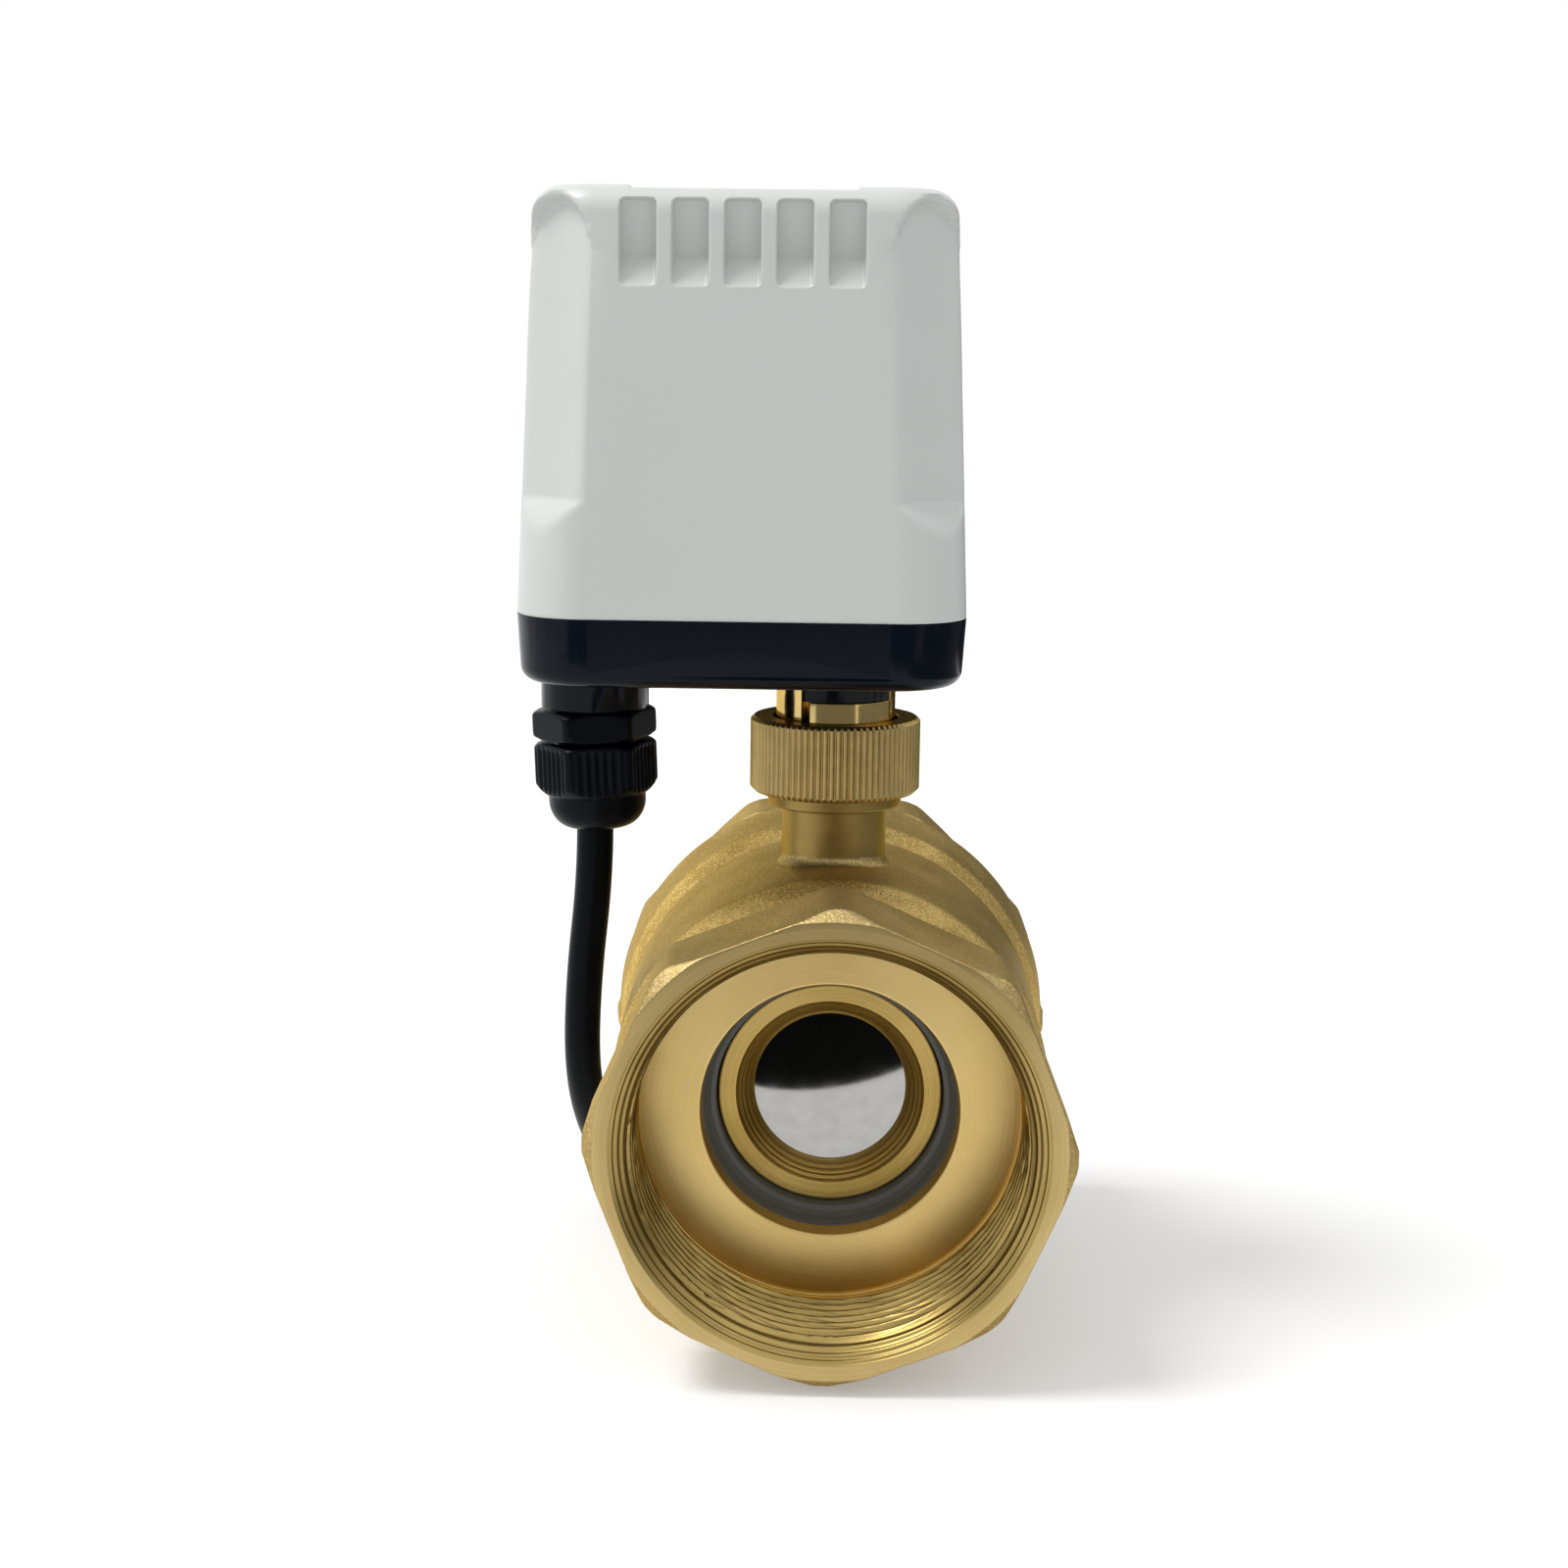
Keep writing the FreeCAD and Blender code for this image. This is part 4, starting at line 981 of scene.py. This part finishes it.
def ventEdges():
    middles = [(i - (cover["vents"] - 1) / 2) * cover["ventPitch"] for i in range(cover["vents"])]
    return [(m - cover["ventWidth"] / 2, m + cover["ventWidth"] / 2) for m in middles]


def faceColumns():  # x of the columns on the front and back, from the cover's centre
    columns = [-19.2, -18.3, 18.3, 19.2, -6.0, 6.0]
    for left, right in ventEdges():
        columns += [left + r for r in rim] + [right - r for r in rim] + [(left + right) / 2]
    for side in (-1, 1):
        columns += [side * (cover["labelHalf"] + r) for r in labelRim]
    return spaced(columns, 0.06)


def roundedLoop(half, radius, xs, ys):  # from the front left, round to the left, about the origin
    points = []
    sides = [[(x, -half[1]) for x in xs], [(half[0], y) for y in ys],
             [(x, half[1]) for x in xs[::-1]], [(-half[0], y) for y in ys[::-1]]]
    for quarter, (sx, sy) in enumerate(((1, -1), (1, 1), (-1, 1), (-1, -1))):
        points += sides[quarter]
        x, y = sx * (half[0] - radius), sy * (half[1] - radius)
        turns = pi / 2 * (quarter - 1 + np.arange(arcSteps + 1) / arcSteps)
        points += [(x + radius * cos(a), y + radius * sin(a)) for a in turns]
    return np.array(points)


def share(z):  # of the cover's height
    return (z - cover["bottom"]) / (cover["top"] - cover["bottom"])


def plan(z, inset, xs):  # the cover's outline at a height
    half = [h - cover["draft"] * share(z) - inset for h in cover["half"]]
    corner = max(0.0, cover["corner"] - cover["cornerDraft"] * share(z) - inset)
    return roundedLoop(half, corner, xs, sideColumns)


def faceY(z):  # the front face, from the cover's centre
    return cover["draft"] * share(z) - cover["half"][1]


def hollowCorners(loop, z, shift):
    c, root = cover, sqrt(2)
    facet = (sum(c["half"]) - 2 * c["draft"] * share(z) - c["facetWidth"]) / root - shift  # from the axis
    rise, height = c["scoop"]
    facet += rise * (1 - (1 - min(1.0, max(0.0, c["facetFoot"] - z) / height)) ** 2)
    depth, reach = c["facetHollow"]
    sharp, soft = c["facetEdge"]
    edge = sharp + (soft - sharp) * smoothStep(*c["archSpan"], z)
    for sx, sy in ((1, 1), (1, -1), (-1, 1), (-1, -1)):
        out = (loop[:, 0] * sx + loop[:, 1] * sy) / root
        across = (loop[:, 0] * sx - loop[:, 1] * sy - c["half"][0] + c["half"][1]) / root
        bulge = c["archRadius"] ** 2 - np.clip(np.abs(across), 0, c["archRadius"]) ** 2
        arch = c["archTop"] - c["archRadius"] + np.sqrt(np.clip(bulge, 0.01, None))
        limit = facet - depth * np.clip(1 - (across / reach) ** 2, 0, 1)
        limit += c["archSlope"] * np.clip(z - arch, 0, None)
        move = out - smoothMin(out, limit, edge)
        loop[:, 0] -= sx * move / root
        loop[:, 1] -= sy * move / root


def pushVents(loop, z):
    c = cover
    depth, lift = c["ventDepth"]
    foot, ledge, top, r = c["ventBottom"], c["ledgeTop"], c["ventTop"], c["ventCorner"]
    low, high = faceY(foot) + c["ventFoot"], faceY(ledge) + depth
    if z < ledge:
        floor = low + (high - low) * max(0.0, z - foot) / (ledge - foot)
    else:
        floor = high + (lift - depth) * (z - ledge) / (top - ledge)
    mask = np.zeros(len(loop))
    for left, right in ventEdges():
        qx = np.abs(loop[:, 0] - (left + right) / 2) - c["ventWidth"] / 2 + r
        qz = abs(z - (foot + top) / 2) - (top - foot) / 2 + r
        away = np.hypot(np.clip(qx, 0, None), max(qz, 0)) + np.minimum(np.maximum(qx, qz), 0) - r
        mask = np.maximum(mask, 1 - smoothStep(-0.24, 0.24, away))
    front = loop[:, 1] < loop[:, 1].min() + 4.5
    loop[:, 1] += np.where(front, np.clip(floor - loop[:, 1], 0, None) * mask, 0)


def outerRows():  # height and inset, from the bottom edge up to the middle of the top
    c = cover
    ledge, start, edge = c["ledgeTop"], c["top"] - c["edge"], c["edge"]
    levels = [c["ventBottom"] + r for r in rim] + [ledge + r for r in (-0.25, -0.1, 0, 0.1, 0.25)]
    for low, high, step in bands:
        levels += list(np.arange(low, high, step))
    rows = [(c["bottom"] + z, inset) for z, inset in ((0, 0.35), (0.1, 0.12), (0.3, 0.0), (0.7, 0.0))]
    rows += [(z, 0.0) for z in sorted(levels)]
    for z in sorted([start + z for z in (0, 0.35, 0.7, 1.0)] + [c["ventTop"] + r for r in rim]):
        rows.append((z, edge * (1 - cos(asin(min(1.0, (z - start) / edge))))))
    for a in np.radians((50, 56, 62, 68, 74, 80, 86, 90)):
        rows.append((start + edge * sin(a), edge * (1 - cos(a))))
    return rows + [(c["top"], inset) for inset in (4.6, 6.0, 8.0, 9.6)]


def outerRings(xs):
    c, rings = cover, []
    for z, inset in outerRows():
        loop = plan(z, inset, xs)
        hollowCorners(loop, z, 0.0)
        if z > c["ventBottom"] - 1:
            pushVents(loop, z)
        level = np.full(len(loop), z)
        if z > c["top"] - 1:
            x, edge = np.abs(loop[:, 0]), c["labelHalf"]
            sunk = c["labelDepth"] * (1 - smoothStep(edge - 0.25, edge + 0.3, x))
            level = smoothMin(level, c["top"] - sunk + 0.02, 0.08)
        rings.append(np.column_stack([loop, level]))
    return rings


def innerRings(xs):
    rings = []
    for z in innerLevels:
        loop = plan(z, cover["wall"], xs)
        hollowCorners(loop, z, cover["wall"])
        x, y = loop.T
        sides, heights = cover["ventWall"]
        behindVents = (y < 0) * (1 - smoothStep(*sides, np.abs(x))) * smoothStep(*heights, z)
        loop[:, 1] += behindVents * (cover["ventDepth"][0] - 0.4)
        rings.append(np.column_stack([loop, np.full(len(loop), z)]))
    return rings


def closeRing(ring, xs, ys):  # grid inside a ring that has shrunk to a rectangle, level with it across
    low, high = ring.min(0), ring.max(0)
    gx, gy = [low[0], *xs, high[0]], [low[1], *ys, high[1]]
    n = len(gx)
    points = [(x, y, ring[np.abs(ring[:, 0] - x).argmin(), 2]) for y in gy for x in gx]
    faces = [(k, k + 1, k + n + 1, k + n) for j in range(len(gy) - 1) for k in range(j * n, j * n + n - 1)]
    return points, faces


def coverPosts():  # for the screws that come up through the base
    c = cover
    x, y, r, low, high = *c["centre"], c["postRadius"], c["bottom"], c["bottom"] + c["postHeight"]
    outline = filleted([(low, c["postHole"]), (low, r), (high, r, 0.4), (high, 0.05), (high - 1.5, 0.05),
                        (high - 1.5, c["postHole"])])
    dx, dy = (half - inset for half, inset in zip(c["half"], c["screwInset"]))
    return [lathe(outline, steps=32, centre=(x + sx * dx, y + sy * dy)) for sx in (-1, 1) for sy in (-1, 1)]


def makeCover():
    xs = faceColumns()
    outer = outerRings(xs)
    rings = innerRings(xs)[::-1] + outer
    count = len(outer[0])
    ceiling = tuple(range(count))
    walls = np.concatenate(rings), gridFaces(len(rings), count, False) + [ceiling]
    points, faces = together(walls, closeRing(outer[-1], xs, sideColumns))
    points[:, :2] += cover["centre"]
    shell = together((points, faces), *coverPosts())
    piece = objectFrom("coverShell", shell, ["lightPlastic"], "cover")
    piece.modifiers.new("evenShade", "WEIGHTED_NORMAL").keep_sharp = True


makeCover()
print("cover made")


# Cable gland

gland = {
    "centre": (-37.7, 47.5),
    "turn": 8.5,  # degrees
    "lean": 2.3,  # degrees, the dome to the right
    "leanFrom": 52.0,
    "drop": 0.3,
    "flange": (17.2, 52.4, 57.0),  # across flats, bottom and top
    # rounded ends: the distance from the end, and how far past the flats
    "flangeFoot": ((0, -1.2), (0.02, -0.2), (0.15, 0.3), (0.45, 0.9), (0.7, 1.05), (1.2, 1.1)),
    "flangeHead": ((1.2, 1.1), (0.7, 1.05), (0.4, 0.8), (0.12, 0.25), (0, -0.3), (0, -1.2)),
    "thread": 6.0,
    "threadPitch": 1.5,
    "threadBottom": 46.0,
    "top": 66.0,
    "bore": 3.1,
    "nutFlats": 17.2,
    "nut": (43.5, 51.9),
    "nutHead": ((0, -1.5), (0.05, -0.1), (0.25, 0.5), (0.6, 0.9)),
    "nutFoot": ((1.8, 0.95), (1.2, 0.55), (0.7, 0.1), (0.3, -0.35), (0.05, -0.7)),
    "ribs": 7,  # on each flat
    "ribDepth": 0.35,
    "dome": 7.65,
    "domeTop": 42.6,
    "domeSweep": radians(78),
    "mouth": 38.2,
    "cable": 2.95,
}


def leant(shell):
    points, faces = shell
    slope = tan(radians(gland["lean"]))
    x, z = points[:, 0] - gland["centre"][0], points[:, 2] - gland["leanFrom"]
    points[:, 0] -= slope * z
    points[:, 2] += slope * x - gland["drop"]
    return points, faces


def makeFlange():
    g = gland
    flats, low, high = g["flange"]
    edge, thread, bottom, pitch = flats / 2, g["thread"], g["threadBottom"], g["threadPitch"]

    def flangeAt(a, along, radius, row):
        hexagon = polygonAt(a, 6, flats, g["turn"], 0.35)
        return smoothMin(hexagon, radius, 0.2) if len(row) > 2 else radius

    outline = [(low, thread - 0.3)] + [(low + z, edge + r, "hex") for z, r in g["flangeFoot"]]
    outline += [(high - z, edge + r, "hex") for z, r in g["flangeHead"]]
    outline += [(high, thread), (g["top"], thread), (g["top"], g["bore"]), (bottom, g["bore"]),
                (bottom, thread - 0.1)]
    for z in np.arange(bottom + 1.0, low - 0.1, pitch / 6):
        outline.append((z, thread - 0.1 - 0.35 * (0.5 + 0.5 * cos(2 * pi * z / pitch))))
    shell = leant(lathe(outline, steps=360, centre=g["centre"], radiusAt=flangeAt))
    objectFrom("glandBody", shell, ["blackPlastic"], "gland_body")


def makeDomeNut():
    g = gland
    (bottom, top), half, thread, cord = g["nut"], g["nutFlats"] / 2, g["thread"], g["cable"]

    def nutAt(a, along, radius, row):
        if len(row) < 3:
            return radius
        sector = np.mod(a - radians(g["turn"]), pi / 3) / (pi / 3)
        rib = 0.5 - 0.5 * np.cos(2 * pi * g["ribs"] * sector)
        middle = smoothStep(0.04, 0.12, sector) * (1 - smoothStep(0.88, 0.96, sector))
        fade = smoothStep(bottom + 0.6, bottom + 1.6, along) * (1 - smoothStep(top - 1.3, top - 0.5, along))
        hexagon = polygonAt(a, 6, g["nutFlats"], g["turn"], 0.35)
        return smoothMin(hexagon - g["ribDepth"] * rib * middle * fade, radius, 0.25)

    outline = [(top, thread + 0.1)] + [(top - z, half + r, "hex") for z, r in g["nutHead"]]
    outline += [(z, half + 1.0, "hex") for z in np.arange(top - 1.0, bottom + 2.0, -0.5)]
    outline += [(bottom + z, half + r, "hex") for z, r in g["nutFoot"]]
    outline += [(bottom, half - 0.85), (bottom - 0.06, g["dome"] + 0.06), (bottom - 0.25, g["dome"])]
    rise, reach = (g["domeTop"] - g["mouth"]) / sin(g["domeSweep"]), g["dome"] - cord - 0.5
    for k in range(1, 12):  # the dome closes round the cable
        a = g["domeSweep"] * k / 11
        outline.append((g["domeTop"] - rise * sin(a), cord + 0.5 + reach * cos(a) ** 0.9))
    outline += [(g["mouth"] - 0.02, cord + 0.35), (g["mouth"] + 0.15, cord), (g["threadBottom"], cord),
                (g["threadBottom"], thread + 0.1)]
    shell = leant(lathe(outline, steps=360, centre=g["centre"], radiusAt=nutAt))
    objectFrom("glandNut", shell, ["blackPlastic"], "gland_dome_nut")


makeFlange()
makeDomeNut()
print("gland made")


# Carried-over nodes: a finish for each, and soft edges where they show

def dress(node, finish):
    piece = nodes[node]
    if piece.material_slots:
        for slot in piece.material_slots:
            slot.material = finishes[finish]
    else:
        piece.data.materials.append(finishes[finish])


def softenEdges(node, width, steepest):
    piece = nodes[node]
    piece.modifiers.new("weld", "WELD").merge_threshold = 1e-6
    bevel = piece.modifiers.new("edges", "BEVEL")
    bevel.width, bevel.segments, bevel.limit_method = width * mm, 2, "ANGLE"
    bevel.angle_limit = radians(steepest)
    bevel.harden_normals = True
    bevel.use_clamp_overlap = True


dressing = {
    "steel": ("output_shaft", "motor_shaft", "motor", "gear_axles", "gear_plate", "plate_screws",
              "cover_screws", "nut_retaining_clip"),
    "satin": ("stem", "motor_pinion", "board_standoffs"),
    "gearPlastic": ("output_gear", "middle_gear", "first_gear"),
    "blackPlastic": ("limit_cam", "limit_switches"),
    "navyPlastic": ("base",),
    "board": ("circuit_board",),
    "ptfe": ("stem_washer", "end_cap_gasket", "front_seat", "rear_seat"),
    "rubber": ("stem_o_rings", "cover_gasket", "gland_seal"),
    "sheath": ("cable_entry",),
    "wire": ("wire_ends",),
}
for finish, dressed in dressing.items():
    for node in dressed:
        dress(node, finish)
softenEdges("base", 0.25, 35)
cablePiece.data.materials.append(finishes["sheath"])
print("nodes dressed")


# Floor, backdrop and lamps

studio = {
    "floor": (0.66, 0.66, 0.66, 1),
    "floorHalf": 20.0,  # m
    "floorLift": 0.25,  # added where the camera looks, so that the floor meets the white backdrop
    "ambient": 0.80,
    "key": {"turn": (30, 0, -80), "strength": 2.2, "soft": 24},
    "fill": {"turn": (62, 0, 40), "strength": 0.1, "soft": 60},
}
white = (1, 1, 1, 1)


def flat(x0, y0, x1, y1):  # a flag just over the floor, in mm
    return (x0, y0, 1), (x1, y0, 1), (x1, y1, 1), (x0, y1, 1)


def upright(x0, y0, x1, y1, height):
    return (x0, y0, 0), (x1, y1, 0), (x1, y1, height), (x0, y0, height)


cards = {  # dark boards that only glossy surfaces see: corners over the floor, and tone
    "floorFlag": (((-34, -205, 2), (34, -205, 2), (30, -100, 2), (-28, -72, 2)), 0.006),
    "frontFlag": (flat(-600, -700, 600, -400), 0.25),
    "frontBoard": (upright(-600, -700, 600, -700, 500), 0.25),
    "rearBoard": (upright(-80, 500, 700, 500, 300), 0.05),
    "rightFlag": (flat(200, -400, 700, 400), 0.25),
    "rightBoard": (upright(700, -700, 700, 500, 300), 0.25),
}


def makeSheet(name, corners, finish):  # corners in metres, their height from the floor
    mesh = bpy.data.meshes.new(name)
    mesh.from_pydata([(x, y, cadBox[0][2] + z) for x, y, z in corners], [], [(0, 1, 2, 3)])
    mesh.materials.append(finish)
    return addObject(name, mesh)


def makeFloor():
    paper, start = newFinish("floorPaper")
    seen = start.add("ShaderNodeLightPath", {}, {})
    lit = start.add("ShaderNodeBsdfDiffuse", {}, {"Color": studio["floor"]})
    glow = start.add("ShaderNodeEmission", {}, {"Color": white, "Strength": studio["floorLift"]})
    both = start.add("ShaderNodeAddShader", {}, {0: lit, 1: glow})
    show = seen.maths("MAXIMUM", seen, seen.other("Is Glossy Ray"))
    mixed = start.add("ShaderNodeMixShader", {}, {0: show, 1: lit, 2: both})
    start.add("ShaderNodeOutputMaterial", {}, {"Surface": mixed})
    a = studio["floorHalf"]
    makeSheet("floor", [(-a, -a, 0), (a, -a, 0), (a, a, 0), (-a, a, 0)], paper)


def makeCard(name, corners, tone):
    paint, start = newFinish(name)
    dark = start.add("ShaderNodeEmission", {}, {"Color": (tone, tone, tone, 1), "Strength": 1.0})
    start.add("ShaderNodeOutputMaterial", {}, {"Surface": dark})
    card = makeSheet(name, [[v * mm for v in corner] for corner in corners], paint)
    for ray in ("camera", "diffuse", "shadow", "transmission", "volume_scatter"):
        setattr(card, "visible_" + ray, False)


def makeLamp(name):
    facts = studio[name]
    lamp = bpy.data.lights.new(name, "SUN")
    lamp.energy, lamp.angle = facts["strength"], radians(facts["soft"])
    addObject(name, lamp).rotation_euler = [radians(v) for v in facts["turn"]]


def makeWorld():
    world = bpy.data.worlds.new("backdrop")
    world.use_nodes = True
    world.node_tree.nodes.clear()
    start = Wire(world.node_tree)
    seen = start.add("ShaderNodeLightPath", {}, {})
    mirrored = seen.maths("MAXIMUM", seen, seen.other("Is Glossy Ray"))
    show = seen.maths("MAXIMUM", mirrored, seen.other("Is Transmission Ray"))
    dim = start.add("ShaderNodeBackground", {}, {"Color": white, "Strength": studio["ambient"]})
    bright = start.add("ShaderNodeBackground", {}, {"Color": white, "Strength": 1.0})
    mixed = start.add("ShaderNodeMixShader", {}, {0: show, 1: dim, 2: bright})
    start.add("ShaderNodeOutputWorld", {}, {"Surface": mixed})
    bpy.context.scene.world = world


makeFloor()
for name, (corners, tone) in cards.items():
    makeCard(name, corners, tone)
makeLamp("key")
makeLamp("fill")
makeWorld()
bpy.context.scene.view_settings.view_transform = "Standard"
print("stage set")
